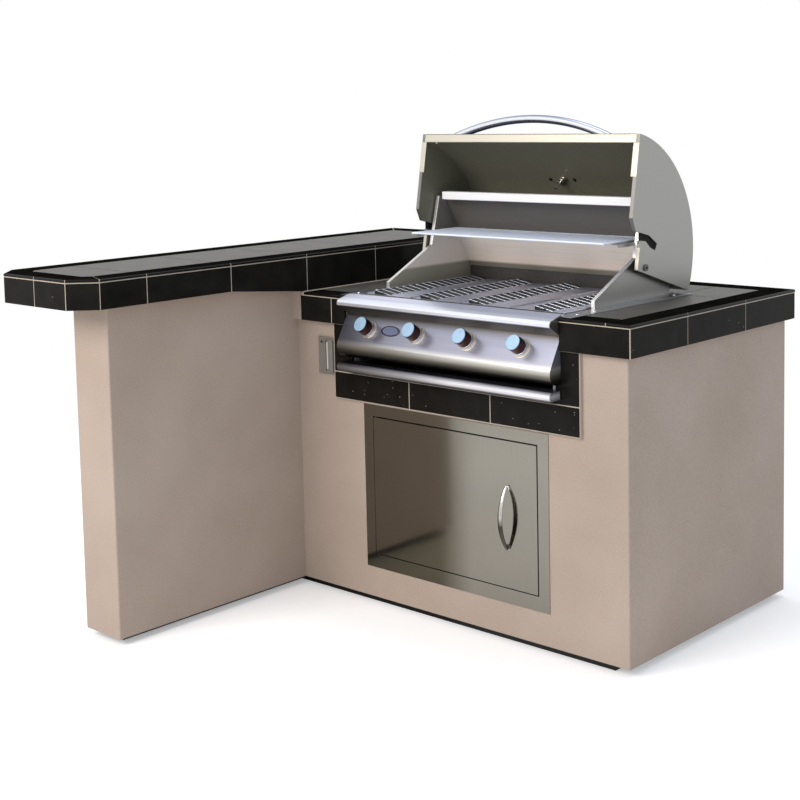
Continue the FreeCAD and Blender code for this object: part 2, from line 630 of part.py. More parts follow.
def make_bar_top():
    board = ("bar_deck_top - bar_deck_board", "bar_deck_top")
    node(profile("bar_deck_raw", "XY", bar_outline("skirt_back"), *board), "bar_deck")
    low = ("bar_wall_top", board[0])
    outer, inner = bar_outline("skirt_back"), bar_outline("skirt_back + nailer")
    battens = []
    for i in range(len(outer)):
        k = (i + 1) % len(outer)
        battens.append(profile("bar_batten_%d" % i, "XY", [outer[i], outer[k], inner[k], inner[i]], *low))
    edge = "bar_in - skirt_back"
    taper = [("-tile_pitch", "bar_wall_top"), ("-counter_overhang + skirt_back", "bar_wall_top"),
             ("-counter_overhang + skirt_back", "counter_top"), ("-joint", "counter_top")]
    fill = profile("bar_taper_fill", "YZ", taper, "-base_left", edge)
    rest = block("bar_splash_fill", ("-base_left", edge),
                 ("-counter_overhang + skirt_back", "back_face - skirt_back"),
                 ("deck_top", "bar_wall_top"))
    node(group("bar_nailer_group", battens + [fill, rest]), "bar_nailer")


def make_bar_tiles():
    marks = ["-tile_pitch * 2", "-tile_pitch", "0", "tile_pitch", "tile_pitch * 2"]
    top = ("bar_deck_top + deck_bed", "bar_top")
    border = strips("bar_border", marks, top, "0", "border")
    field = []
    inner = bar_outline("border + joint")
    first = [(inner[1][0], "-tile_pitch * 2 - joint / 2"), inner[1], inner[2], inner[3], inner[4],
             (inner[4][0], "-tile_pitch * 2 - joint / 2")]
    field.append(profile("bar_field_first", "XY", first, *top))
    for i, y in enumerate(span("-tile_pitch * 2 + joint / 2", inner[0][1], marks[1:])):
        field.append(block("bar_field_%d" % i, (inner[4][0], inner[1][0]), y, top))
    node(group("bar_field_group", field), "bar_field_tiles")
    raw = group("bar_border_raw", border)
    high = size("bar_wall_top") + size("bar_skirt") + size("tile")
    x_in = -size("base_left") + size("bar_inner_overhang")
    x_out = -size("base_left") - size("bar_wall") - size("bar_outer_overhang")
    y_end = -size("bar_forward") - size("bar_end_overhang")
    y_back = size("base_depth") + size("counter_overhang")
    chamfer = size("bar_chamfer")

    def outside(a, b):
        if abs(a.z - high) > 0.1 or abs(b.z - high) > 0.1:
            return False
        for one, two, face in ((a.x, b.x, x_in), (a.x, b.x, x_out), (a.y, b.y, y_end), (a.y, b.y, y_back)):
            if abs(one - face) < 0.1 and abs(two - face) < 0.1:
                return True
        for side, way in ((x_in, 1), (x_out, -1)):
            edge = [abs(way * (p.x - side) - (p.y - y_end - chamfer)) < 0.6 for p in (a, b)]
            if edge[0] and edge[1]:
                return True
        return False
    node(rounded("bar_border_soft", raw, size("nose"), outside), "bar_border_tiles")
    skirt_z = ("bar_wall_top", "bar_wall_top + bar_skirt - joint")
    skirt = strips("bar_skirt_tile", marks[:2] + ["0"] + marks[3:], skirt_z, "0", "tile")
    plain = [part for part in skirt if not part.Name.startswith("bar_skirt_tile_in_")]
    face = ("bar_in - tile", "bar_in")
    top_z = skirt_z[1]
    runs = span("bar_end + bar_chamfer + joint / 2", "back_face - joint", marks)
    shaped = []
    splash = []
    for i, (low, high_y) in enumerate(runs):
        floor = ["bar_wall_top", "bar_wall_top"]
        if i == 2:
            floor = ["bar_wall_top", "counter_top"]
        if i > 2:
            floor = ["counter_top", "counter_top"]
        points = [(low, floor[0]), (high_y, floor[1]), (high_y, top_z), (low, top_z)]
        piece = profile("bar_inner_tile_%d" % i, "YZ", points, *face)
        (splash if i > 2 else shaped).append(piece)
    splash.append(block("splash_end", ("-base_left", "bar_in - tile - joint"),
                        ("back_face - tile", "back_face"),
                        ("deck_top + deck_bed + joint", "bar_wall_top - joint")))
    node(group("bar_skirt_group", plain + shaped + splash), "bar_skirt_tiles")
    shell = profile("bar_grout_raw", "XY", bar_outline("grout_drop"), "bar_wall_top",
                    "bar_top - grout_drop")
    core = profile("bar_grout_core", "XY", bar_outline("skirt_back"), "bar_wall_top - 1", "bar_deck_top")
    splash_bed = block("splash_bed", ("bar_in - skirt_back", "bar_in - grout_drop"),
                       ("-joint", "back_face - skirt_back"), ("counter_top - grout_drop", "bar_wall_top + 1"))
    taper = [("-tile_pitch", "bar_wall_top"), ("-joint", "counter_top"), ("-joint", "bar_wall_top + 1"),
             ("-tile_pitch", "bar_wall_top + 1")]
    taper_bed = profile("taper_bed", "YZ", taper, "bar_in - skirt_back", "bar_in - grout_drop")
    end_bed = block("splash_end_bed", ("-base_left", "bar_in - tile"),
                    ("back_face - skirt_back", "back_face - grout_drop"), ("deck_top", "bar_wall_top + 1"))
    whole = fuse("bar_grout_whole", [shell, splash_bed, taper_bed, end_bed])
    node(cut("bar_grout_cut", whole, [core] + plain + shaped + splash + border + field), "bar_grout")


# outlet

def make_outlet():
    mid = "-outlet_x"
    box_x = (mid + " - outlet_box_half + box_slack", mid + " + outlet_box_half - box_slack")
    box_z = ("outlet_mid - outlet_box_high / 2 + box_slack", "outlet_mid + outlet_box_high / 2 - box_slack")
    outer = block("outlet_box_out", box_x, ("0", "outlet_box_deep"), box_z)
    inner = block("outlet_box_in", (box_x[0] + " + stud_wall", box_x[1] + " - stud_wall"),
                  ("-1", "outlet_box_deep - stud_wall"),
                  (box_z[0] + " + stud_wall", box_z[1] + " - stud_wall"))
    node(cut("outlet_box_cut", outer, [inner]), "outlet_box")
    plate = block("outlet_plate_raw", (mid + " - outlet_half", mid + " + outlet_half"),
                  ("-cover_thick", "0"), ("outlet_low", "outlet_high"))
    window = block("outlet_window", (mid + " + lid_barrel", mid + " + outlet_half - cover_side"),
                   ("-cover_thick - 1", "1"), ("outlet_low + cover_end", "outlet_high - cover_end"))
    cover = cut("outlet_plate_cut", plate, [window])
    socket_end = "cover_end + socket_sink"
    socket = block("outlet_socket_raw",
                   (mid + " + lid_barrel + lid_play", mid + " + outlet_box_half - cover_side"),
                   ("-cover_thick + socket_sink", "socket_deep"),
                   ("outlet_low + " + socket_end, "outlet_high - (%s)" % socket_end))
    slots = []
    for i, z in enumerate(("outlet_mid - socket_pitch / 2", "outlet_mid + socket_pitch / 2")):
        for k, x in enumerate((mid + " + blade_in", mid + " + blade_in + blade_pitch")):
            slots.append(block("slot_%d_%d" % (i, k), (x, x + " + blade_wide"),
                               ("-cover_thick", "blade_deep"),
                               (z + " - blade_tall / 2", z + " + blade_tall / 2")))
    node(cut("outlet_socket_cut", socket, slots), "outlet_socket")
    pin_y = "-cover_thick - lid_barrel - lid_gap"
    leaf = block("lid_leaf", (mid, mid + " + lid_wide"),
                 ("-cover_thick - lid_gap - lid_thick", "-cover_thick - lid_gap"),
                 ("outlet_low + lid_inset", "outlet_high - lid_inset"))
    barrel = rod("lid_barrel_rod", "z", (mid, pin_y, "outlet_low + barrel_end"), "lid_barrel",
                 "outlet_high - outlet_low - 2 * barrel_end")
    bore = rod("lid_bore", "z", (mid, pin_y, "outlet_low"), "lid_pin_r + fit", "outlet_high - outlet_low")
    clear = []
    barrel_ends = (("outlet_low", "outlet_low + barrel_end"), ("outlet_high - barrel_end", "outlet_high"))
    for i, z in enumerate(barrel_ends):
        clear.append(block("lid_clear_%d" % i, (mid + " - barrel_room", mid + " + lid_barrel + lid_play"),
                           ("-cover_thick - barrel_room_deep", "-cover_thick"), z))
    node(cut("lid_cut", fuse("lid_raw", [leaf, barrel]), [bore] + clear), "outlet_lid")
    pins = [rod("lid_pin", "z", (mid, pin_y, "outlet_low + knuckle_end"), "lid_pin_r",
                "outlet_high - outlet_low - 2 * knuckle_end")]
    for i, z in enumerate(("outlet_low + knuckle_end", "outlet_high - knuckle_end - knuckle_long")):
        pins.append(block("lid_knuckle_%d" % i, (mid + " - knuckle_wide / 2", mid + " + knuckle_wide / 2"),
                          ("-cover_thick - knuckle_deep", "-cover_thick"), (z, z + " + knuckle_long")))
    node(fuse("lid_pins", [cover] + pins), "outlet_cover")


# access door

def make_door():
    half = "door_open_half"
    flange = block("frame_flange", ("-door_half", "door_half"), ("-jamb_sheet", "0"),
                   ("door_low", "door_high"))
    box = block("frame_box", ("-%s - jamb_sheet" % half, half + " + jamb_sheet"), ("-jamb_sheet", "jamb"),
                ("door_open_low - jamb_sheet", "door_open_high + jamb_sheet"))
    hole = block("frame_hole", ("-" + half, half), ("-door_face - 5", "jamb + 1"),
                 ("door_open_low", "door_open_high"))
    frame = cut("frame_cut", fuse("frame_raw", [flange, box]), [hole])
    x = ("-%s + door_gap" % half, half + " - door_gap")
    y = ("-door_face", "-door_face + door_deep")
    z = ("door_open_low + door_gap", "door_open_high - door_gap")
    pan = block("door_pan", x, y, z)
    soft = rounded("door_soft", pan, size("door_sheet"),
                   lambda a, b: abs(a.y + size("door_face")) < 0.1 and abs(b.y + size("door_face")) < 0.1)
    inside = block("door_inside", (x[0] + " + door_sheet", x[1] + " - door_sheet"),
                   (y[0] + " + door_sheet", y[1] + " + 1"),
                   (z[0] + " + door_sheet", z[1] + " - door_sheet"))
    bores = rod("door_bore", "z", ("pin_x", "door_pin_y", "door_open_low"), "door_pin_r + fit",
                "door_open_high - door_open_low")
    node(cut("door_cut", soft, [inside, bores]), "door_panel")
    pins = [rod("door_pin_low", "z", ("pin_x", "door_pin_y", "door_open_low"), "door_pin_r", "pin_long"),
            rod("door_pin_high", "z", ("pin_x", "door_pin_y", "door_open_high - pin_long"),
                "door_pin_r", "pin_long")]
    node(fuse("frame_pinned", [frame] + pins), "door_frame")
    catch = block("catch_raw", (half + " - catch_wide", half),
                  (y[1] + " + catch_gap", y[1] + " + catch_gap + catch_deep"),
                  ("catch_z - catch_high / 2", "catch_z + catch_high / 2"))
    node(catch, "door_catch")
    make_pull()


def make_pull():
    """The bowed door pull: a round bar bent in one arc that stands off the door's face."""
    chord = "(pull_high - pull_low) / 2"
    bow = "((%s) ^ 2 + pull_rise ^ 2) / (2 * pull_rise)" % chord
    body = doc.addObject("PartDesign::Body", "pull_body")
    sketch = body.newObject("Sketcher::SketchObject", "pull_section")
    base = [part for part in body.Origin.OriginFeatures if part.Role == "XY_Plane"][0]
    sketch.AttachmentSupport = [(base, "")]
    sketch.MapMode = "FlatFace"
    sketch.addGeometry(Part.Circle(FreeCAD.Vector(0, -150, 0), FreeCAD.Vector(0, 0, 1), 5), False)
    sketch.addConstraint(Sketcher.Constraint("DistanceX", -1, 1, 0, 3, 0))
    for name, kind in (("far", "DistanceY"), ("thick", "Radius")):
        index = sketch.addConstraint(Sketcher.Constraint(kind, -1, 1, 0, 3, -150) if kind == "DistanceY"
                                     else Sketcher.Constraint(kind, 0, 5))
        sketch.renameConstraint(index, name)
    bind(sketch, "Constraints.far", "-(%s)" % bow)
    bind(sketch, "Constraints.thick", "pull_r")
    turn = body.newObject("PartDesign::Revolution", "pull_turn")
    turn.Profile = sketch
    turn.ReferenceAxis = ([part for part in body.Origin.OriginFeatures if part.Role == "X_Axis"][0], [""])
    turn.Midplane = True
    bind(turn, "Angle", "2 * asin((%s) / (%s))" % (chord, bow))
    put(body, "pull_x", "-door_face - pull_rise - pull_r + (%s)" % bow, "(pull_low + pull_high) / 2")
    trim = block("pull_trim", ("pull_x - 20", "pull_x + 20"), ("-door_face", "100"),
                 ("pull_low - 30", "pull_high + 30"))
    feet = []
    for i, z in enumerate(("pull_low + 6", "pull_high - 6")):
        feet.append(rod("pull_foot_%d" % i, "y", ("pull_x", "-door_face - pull_r - 3", z), "pull_r + 1",
                        "pull_r + 3"))
    node(cut("pull_cut", fuse("pull_raw", [body] + feet), [trim]), "door_handle")


# grill body

def make_firebox():
    inner = ("-box_half + sheet", "box_half - sheet")
    front = block("box_front_wall", inner, ("box_front", "box_front + sheet"),
                  ("box_low", "counter_top"))
    mouths = [rod("box_mouth_%d" % i, "y", (x, "0", "burner_z"), "burner_r + 0.5", "40")
              for i, x in enumerate(knob_places())]
    walls = [
        cut("box_front_cut", front, mouths),
        block("box_back_wall", inner, ("box_back - sheet", "box_back"), ("box_low", "back_bend")),
        cut("box_floor", block("box_floor_raw", inner, ("box_front", "box_back"),
                               ("box_low", "box_low + sheet")),
            [block("box_floor_hole", ("-box_hole", "box_hole"), ("hole_front", "hole_back"),
                   ("box_low - 1", "box_low + sheet + 1"))]),
    ]
    walls.append(block("box_apron", inner, ("box_front", "grate_front - apron_gap"),
                       ("counter_top", "grate_top")))
    node(fuse("firebox_raw", walls), "firebox")
    flange = block("flange_raw", ("-flange_half", "flange_half"), ("-flange_lap", "flange_back"),
                   ("counter_top", "flange_top"))
    hole = block("flange_hole", ("-box_half", "box_half"), ("box_front", "box_back"),
                 ("counter_top - 1", "flange_top + 1"))
    node(cut("flange_cut", flange, [hole]), "grill_flange")


def make_side_walls():
    points = [("box_front", "box_low"), ("box_front", "counter_top"), ("box_front + sheet", "counter_top"),
              ("box_front + sheet", "flange_top"),
              ("slope_start", "flange_top"), ("slope_start", "flange_top + toe_rise"),
              ("slope_end", "slope_top"), ("post_top_y", "post_top"),
              ("post_top_y + post_wide", "post_top"), ("box_back", "back_bend"), ("box_back", "box_low")]
    wall = profile("side_wall_raw", "YZ", points, "box_half - sheet", "box_half")
    rise = [("slope_start", "flange_top"), ("slope_start", "flange_top + toe_rise"),
            ("slope_end", "slope_top"), ("post_top_y", "post_top"), ("post_top_y + sheet", "post_top"),
            ("slope_end + sheet * 1.2", "slope_top - sheet * 0.8"),
            ("slope_start + sheet", "flange_top + toe_rise - sheet * 0.6"),
            ("slope_start + sheet", "flange_top")]
    hem = profile("side_hem", "YZ", rise, "box_half", "box_half + hem")
    node(pair("side_walls_pair", fuse("side_wall_hemmed", [wall, hem])), "grill_side_walls")


def make_back_panel():
    top_y = "post_top_y + post_wide"
    points = [("box_back - sheet", "back_bend"), ("box_back", "back_bend"), (top_y, "post_top"),
              (top_y, "rail_z - sheet"), (top_y + " - sheet", "rail_z - sheet"),
              (top_y + " - sheet", "post_top - 1")]
    panel = profile("back_panel_raw", "YZ", points, "-box_half + sheet", "box_half - sheet")
    cap = [("rail_y", "rail_z"), (top_y, "rail_z"), (top_y, "rail_z - sheet"),
           ("rail_y + sheet", "rail_z - sheet"), ("rail_y + sheet", "rail_z - rail_high"),
           ("rail_y", "rail_z - rail_high")]
    rail = profile("top_rail", "YZ", cap, "-rail_half", "rail_half")
    node(group("back_panel_group", [panel, rail]), "back_panel")


def make_lip():
    outer = [("box_front", "flange_top"), ("box_front", "flange_top + lip_rise"),
             ("-lip_front + 44", "flange_top + lip_rise"),
             ("-lip_front", "lip_top"), ("-lip_nose_y", "lip_top - 7"), ("-lip_nose_y", "lip_nose"),
             ("-crease_y", "crease"), ("-crease_y + sheet", "crease"),
             ("-lip_nose_y + sheet + 1", "lip_nose + 1"), ("-lip_nose_y + sheet", "lip_top - 8"),
             ("-lip_front + 1", "lip_top - sheet"),
             ("-flange_lap", "flange_top")]
    node(profile("lip_raw", "YZ", outer, "-panel_half + sheet", "panel_half - sheet"), "front_lip")


def knob_places():
    return ["-knob_pitch * 1.5", "-knob_pitch / 2", "knob_pitch / 2", "knob_pitch * 1.5"]


def tilt():
    return "(90 - face_tilt)"


def make_control_panel():
    inward = "face_sheet"
    x = ("-panel_half + sheet", "panel_half - sheet")
    face = [("-crease_y", "crease"), ("face_low_y", "face_low_z"),
            ("face_low_y + %s * cos(face_tilt)" % inward, "face_low_z - %s * sin(face_tilt)" % inward),
            ("-crease_y + %s" % inward, "crease")]
    flat = profile("face_flat", "YZ", face, *x)
    disc = rod("roll_out", "x", (x[0], "roll_y", "roll_z"), "roll", "2 * panel_half - 2 * sheet")
    core = rod("roll_in", "x", (x[0] + " - 1", "roll_y", "roll_z"), "roll - face_sheet", "2 * panel_half")
    keep = [("roll_y - roll - 5", "roll_z - roll - 5"), ("roll_y + 8", "roll_z - roll - 5"),
            ("roll_y + 8", "roll_z - roll / 2"), ("roll_y", "roll_z"),
            ("roll_y - (roll + 5) * cos(face_tilt)", "roll_z + (roll + 5) * sin(face_tilt)"),
            ("roll_y - roll - 5", "roll_z + roll / 4")]
    wedge = profile("roll_keep", "YZ", keep, x[0] + " - 2", x[1] + " + 2")
    ring = cut("roll_ring", disc, [core])
    arc = doc.addObject("Part::Common", "roll_arc")
    arc.Base = ring
    arc.Tool = wedge
    holes = [lean("face_hole_%d" % i, tilt(), (px, "knob_y", "knob_z"), "shaft_hole", "40", "-20")
             for i, px in enumerate(knob_places())]
    face = cut("face_cut", fuse("face_raw", [flat, arc]), holes)
    wall_y = "-skirt_back - panel_gap"
    top_y = "-flange_lap - panel_gap"
    cheek = [(wall_y, "roll_z - roll"), (wall_y, "wall_top + panel_gap"), (top_y, "wall_top + panel_gap"),
             (top_y, "flange_top + lip_rise"), ("-lip_front + 44", "flange_top + lip_rise"),
             ("-lip_front", "lip_top"), ("-lip_nose_y", "lip_top - 7"), ("-lip_nose_y", "lip_nose"),
             ("-crease_y", "crease"), ("face_low_y", "face_low_z"), ("roll_y", "roll_z"),
             ("roll_y", "roll_z - roll")]
    plate = profile("cheek_plate", "YZ", cheek, "panel_half - sheet", "panel_half")
    round_end = rod("cheek_round", "x", ("panel_half - sheet", "roll_y", "roll_z"), "roll", "sheet")
    behind = block("cheek_clear", ("panel_half - sheet - 1", "panel_half + 1"), (wall_y, "roll_y + roll + 1"),
                   ("roll_z - roll - 1", "roll_z + roll + 1"))
    cheek = fuse("cheek", [plate, cut("cheek_round_cut", round_end, [behind])])
    node(fuse("panel_whole", [face, cheek, mirror("cheek_twin", cheek)]), "control_panel")


def make_knobs():
    bezels = []
    for i, x in enumerate(knob_places()):
        ring = lean("bezel_ring_%d" % i, tilt(), (x, "knob_y", "knob_z"), "bezel_r", "bezel_thick")
        step = lean("bezel_cap_%d" % i, tilt(), (x, "knob_y", "knob_z"), "bezel_r + 2", "bezel_thick / 3")
        bore = lean("bezel_bore_%d" % i, tilt(), (x, "knob_y", "knob_z"), "shaft_hole", "40", "-10")
        bezels.append(cut("bezel_%d" % i, fuse("bezel_both_%d" % i, [ring, step]), [bore]))
    node(group("bezel_group", bezels), "knob_bezels")
    for i, x in enumerate(knob_places()):
        start = (x, "knob_y", "knob_z")
        out = "bezel_thick + 0.6"
        skirt = lean("knob_skirt_%d" % i, tilt(), start, "knob_skirt_r", "knob_skirt", out)
        grip = lean("knob_grip_%d" % i, tilt(), start, "knob_r", "knob_long", out)
        mark = block("knob_mark_%d" % i, ("-1.5", "1.5"), ("knob_r * 0.35", "knob_r * 0.85"), ("0", "1.2"))
        bind(mark, "Placement.Base.x", x + " - 1.5")
        mark.Placement.Rotation = FreeCAD.Rotation(FreeCAD.Vector(1, 0, 0), 10)
        bind(mark, "Placement.Rotation.Angle", tilt())
        far = "(%s + knob_long)" % out
        up = "(knob_r * 0.35)"
        bind(mark, "Placement.Base.y", "knob_y - %s * sin(%s) + %s * cos(%s)" % (far, tilt(), up, tilt()))
        bind(mark, "Placement.Base.z", "knob_z + %s * cos(%s) + %s * sin(%s)" % (far, tilt(), up, tilt()))
        bore = lean("knob_bore_%d" % i, tilt(), start, "spindle_r + fit", "20", out + " - 2")
        node(cut("knob_cut_%d" % i, fuse("knob_raw_%d" % i, [skirt, grip, mark]), [bore]),
             "knob_%d" % (i + 1))


def make_gas_parts():
    valves = []
    for i, x in enumerate(knob_places()):
        start = (x, "knob_y", "knob_z")
        body = lean("valve_body_%d" % i, tilt(), start, "valve_r", "valve_long", "-valve_start - valve_long")
        stem = lean("valve_stem_%d" % i, tilt(), start, "spindle_r", "valve_start + bezel_thick + 16",
                    "-valve_start")
        riser = rod("valve_riser_%d" % i, "z", (x, "-manifold_y", "manifold_z"), "riser_r",
                    "knob_z - manifold_z - 14")
        valves.append(fuse("valve_%d" % i, [body, stem, riser]))
    pipe = rod("manifold_pipe", "x", ("-knob_pitch * 1.5 - 40", "-manifold_y", "manifold_z"), "manifold_r",
               "knob_pitch * 1.5 + 40 + box_half - inlet_r")
    end = "box_half - inlet_r - 1"
    drop = rod("inlet_drop_pipe", "z", (end, "-manifold_y", "inlet_z"), "inlet_r", "manifold_z - inlet_z")
    elbow = rod("inlet_elbow", "z", (end, "-manifold_y", "inlet_z - inlet_r - 1"), "inlet_r + 0.7",
                "inlet_r * 2 + 2")
    inlet = rod("inlet_pipe", "y", (end, "-manifold_y", "inlet_z"), "inlet_r", "inlet_long")
    nut = rod("inlet_nut", "y", (end, "-manifold_y + inlet_long - inlet_r * 4", "inlet_z"),
              "inlet_r + 1.5", "inlet_r * 3")
    node(fuse("gas_train", valves + [pipe, drop, elbow, inlet, nut]), "gas_manifold")
    burners = []
    for i, x in enumerate(knob_places()):
        out = rod("burner_out_%d" % i, "y", (x, "burner_front", "burner_z"), "burner_r",
                  "burner_back - burner_front")
        core = rod("burner_in_%d" % i, "y", (x, "burner_front - 1", "burner_z"), "burner_r - sheet",
                   "burner_back - burner_front - sheet")
        burners.append(cut("burner_%d" % i, out, [core]))
    node(group("burner_group", burners), "burners")


def make_ledges():
    """Angle strips inside the box that the grates, heat plates and burners rest on."""
    parts = []
    x = ("-box_half + sheet", "box_half - sheet")
    for name, high in (("grate", "grate_low"), ("heat", "heat_low")):
        z = (high + " - sheet", high)
        reach = "box_front + sheet + ledge" if name == "heat" else "grate_front + ledge"
        parts.append(block(name + "_ledge_front", x, ("box_front + sheet", reach), z))
        deep = "ledge" if name == "heat" else "box_back - sheet - grate_back + ledge"
        y = ("box_back - sheet - (%s)" % deep, "box_back - sheet")
        parts.append(block(name + "_ledge_back", x, y, z))
    shelf = block("burner_rail", x, ("burner_back - 20", "box_back - sheet"),
                  ("burner_z - burner_r - sheet", "burner_z - burner_r"))
    parts.append(shelf)
    parts.append(make_rack_arms())
    node(group("ledge_group", parts), "box_ledges")


def make_heat_plates():
    plates = []
    rise = [("-heat_half", "heat_low"), ("0", "heat_high"), ("heat_half", "heat_low"),
            ("heat_half - 3", "heat_low"), ("0", "heat_high - heat_sheet * 1.4"),
            ("-heat_half + 3", "heat_low")]
    for i, x in enumerate(knob_places()):
        points = [("%s + (%s)" % (x, a), b) for a, b in rise]
        plates.append(profile("heat_plate_%d" % i, "XZ", points, "box_front + sheet + heat_gap",
                              "box_back - sheet - heat_gap"))
    node(group("heat_group", plates), "heat_plates")


def make_grates():
    long = size("grate_back") - size("grate_front") - 2 * size("grate_margin")
    count = max(1, int(long / size("slot_pitch")))
    for k in range(4):
        left = "-cook_half + grate_pitch * %d" % k
        x = (left + " + grate_gap / 2", left + " + grate_pitch - grate_gap / 2")
        plate = block("grate_plate_%d" % k, x, ("grate_front", "grate_back"), ("grate_low", "grate_top"))
        middle = left + (" + slot_from_left_last" if k == 3 else " + slot_from_left")
        slots = []
        for i in range(count):
            y = "grate_front + grate_margin + slot_pitch * %d" % i
            slots.append(block("grate_slot_%d_%d" % (k, i),
                               (middle + " - slot_long / 2", middle + " + slot_long / 2"),
                               (y, y + " + slot_wide"), ("grate_low - 1", "grate_top + 1")))
        tools = group("grate_slots_%d" % k, slots)
        node(cut("grate_cut_%d" % k, plate, [tools]), "grate_%d" % (k + 1))


def make_rack():
    x = ("-rack_half", "rack_half")
    parts = [
        rod("rack_rod_front", "x", (x[0], "rack_front", "rack_z"), "rack_rod", "2 * rack_half"),
        rod("rack_rod_back", "x", (x[0], "rack_back", "rack_z"), "rack_rod", "2 * rack_half"),
    ]
    count = int((2 * size("rack_half") - size("rack_pitch")) / size("rack_pitch"))
    start = "-rack_pitch * %d / 2" % count
    for i in range(count + 1):
        parts.append(rod("rack_wire_%d" % i, "y", (start + " + rack_pitch * %d" % i, "rack_front", "rack_z"),
                         "rack_wire", "rack_back - rack_front"))
    for tag, px in (("left", "-rack_half"), ("right", "rack_half")):
        parts.append(rod("rack_side_" + tag, "y", (px, "rack_front - rack_rod", "rack_z"), "rack_rod",
                         "rack_back - rack_front + 2 * rack_rod"))
    node(fuse("rack_raw", parts), "warming_rack")


def make_rack_arms():
    top = "rack_z - rack_rod - rack_play"
    points = [("box_half - sheet", top), ("box_half - sheet - arm_wide - 8", top),
              ("box_half - sheet - arm_wide - 8", top + " - sheet"),
              ("box_half - 2 * sheet", top + " - sheet"), ("box_half - 2 * sheet", top + " - arm_deep"),
              ("box_half - sheet", top + " - arm_deep")]
    return pair("rack_arms", profile("rack_arm", "XZ", points, "arm_front", "rack_back + rack_rod"))


# hood

def hood_ring(name, radius, thick, x):
    """A curved sheet about the hood's centre line, from its tail round to its open edge."""
    sweep = "hood_open + hood_tail"
    length = "(%s) - (%s)" % (x[1], x[0])
    parts = []
    for tag, r, grow in (("out", radius, "0"), ("in", "%s - %s" % (radius, thick), "1")):
        slice_ = doc.addObject("Part::Cylinder", name + "_" + tag)
        bind(slice_, "Radius", r)
        bind(slice_, "Height", length + " + 2 * " + grow)
        bind(slice_, "Angle", "360" if grow == "1" else sweep)
        slice_.Placement = FreeCAD.Placement(FreeCAD.Vector(), hood_turn())
        put(slice_, "%s - %s" % (x[0], grow), "hood_y", "hood_z")
        parts.append(slice_)
    return cut(name, parts[0], [parts[1]])


def hood_turn():
    """Turns a slice so that its axis lies along X and its sweep starts at the hood's tail."""
    across = FreeCAD.Rotation(FreeCAD.Vector(0, 1, 0), FreeCAD.Vector(0, 0, 1),
                              FreeCAD.Vector(1, 0, 0), "XYZ")
    return FreeCAD.Rotation(FreeCAD.Vector(1, 0, 0), -size("hood_tail")) * across


def polar(radius, angle):
    return ("hood_y + (%s) * cos(%s)" % (radius, angle), "hood_z + (%s) * sin(%s)" % (radius, angle))


def make_hood():
    room = ("-hood_half + hood_side", "hood_half - hood_side")
    outer = hood_ring("hood_outer_ring", "hood_r", "hood_sheet", room)
    stem = lean("hood_stem_hole", "-(90 - dial_angle)", ("0", "hood_y", "hood_z"), "stem_r + 2", "120",
                "hood_r - 60")
    node(cut("hood_outer_cut", outer, [stem]), "hood_outer_skin")
    inner = hood_ring("hood_inner_ring", "hood_inner + hood_sheet", "hood_sheet", room)
    node(cut("hood_inner_cut", inner, [stem]), "hood_inner_skin")
    near, far = "hood_r - hood_sheet - 0.05", "hood_inner + hood_sheet + 0.05"
    wide = "hood_sheet * 57.3 / hood_r"
    strips = []
    for name, angle, inside in (("rim", "hood_open", "hood_open - " + wide),
                                ("tail", "-hood_tail", "-hood_tail + " + wide)):
        points = [polar(near, angle), polar(far, angle), polar(far, inside), polar(near, inside)]
        strips.append(profile("hood_strip_" + name, "YZ", points, *room))
    node(group("hood_strips", strips), "hood_edge_strips")
    make_hood_sides()


# The edge of a hood side from its low front corner up past the slot, each point a share of notch_back
# and notch_high from that corner, with the side on which the rim folded along the edge to it lies.
SIDE_EDGE = [
    (0, 0, (0, 2)), (0.12, 0.63, (2, 0)), (0.14, 0.83, (2, 0)), (0.41, 0.80, (0, -2)),
    (0.64, 0.60, (0, -2)), (0.90, 0.49, (0, -2)), (1.00, 0.68, (2, 0)), (0.59, 0.95, (0, 2)),
    (-0.08, 1.12, (0, 2)), (-0.24, 1.50, (2, 0)),
]


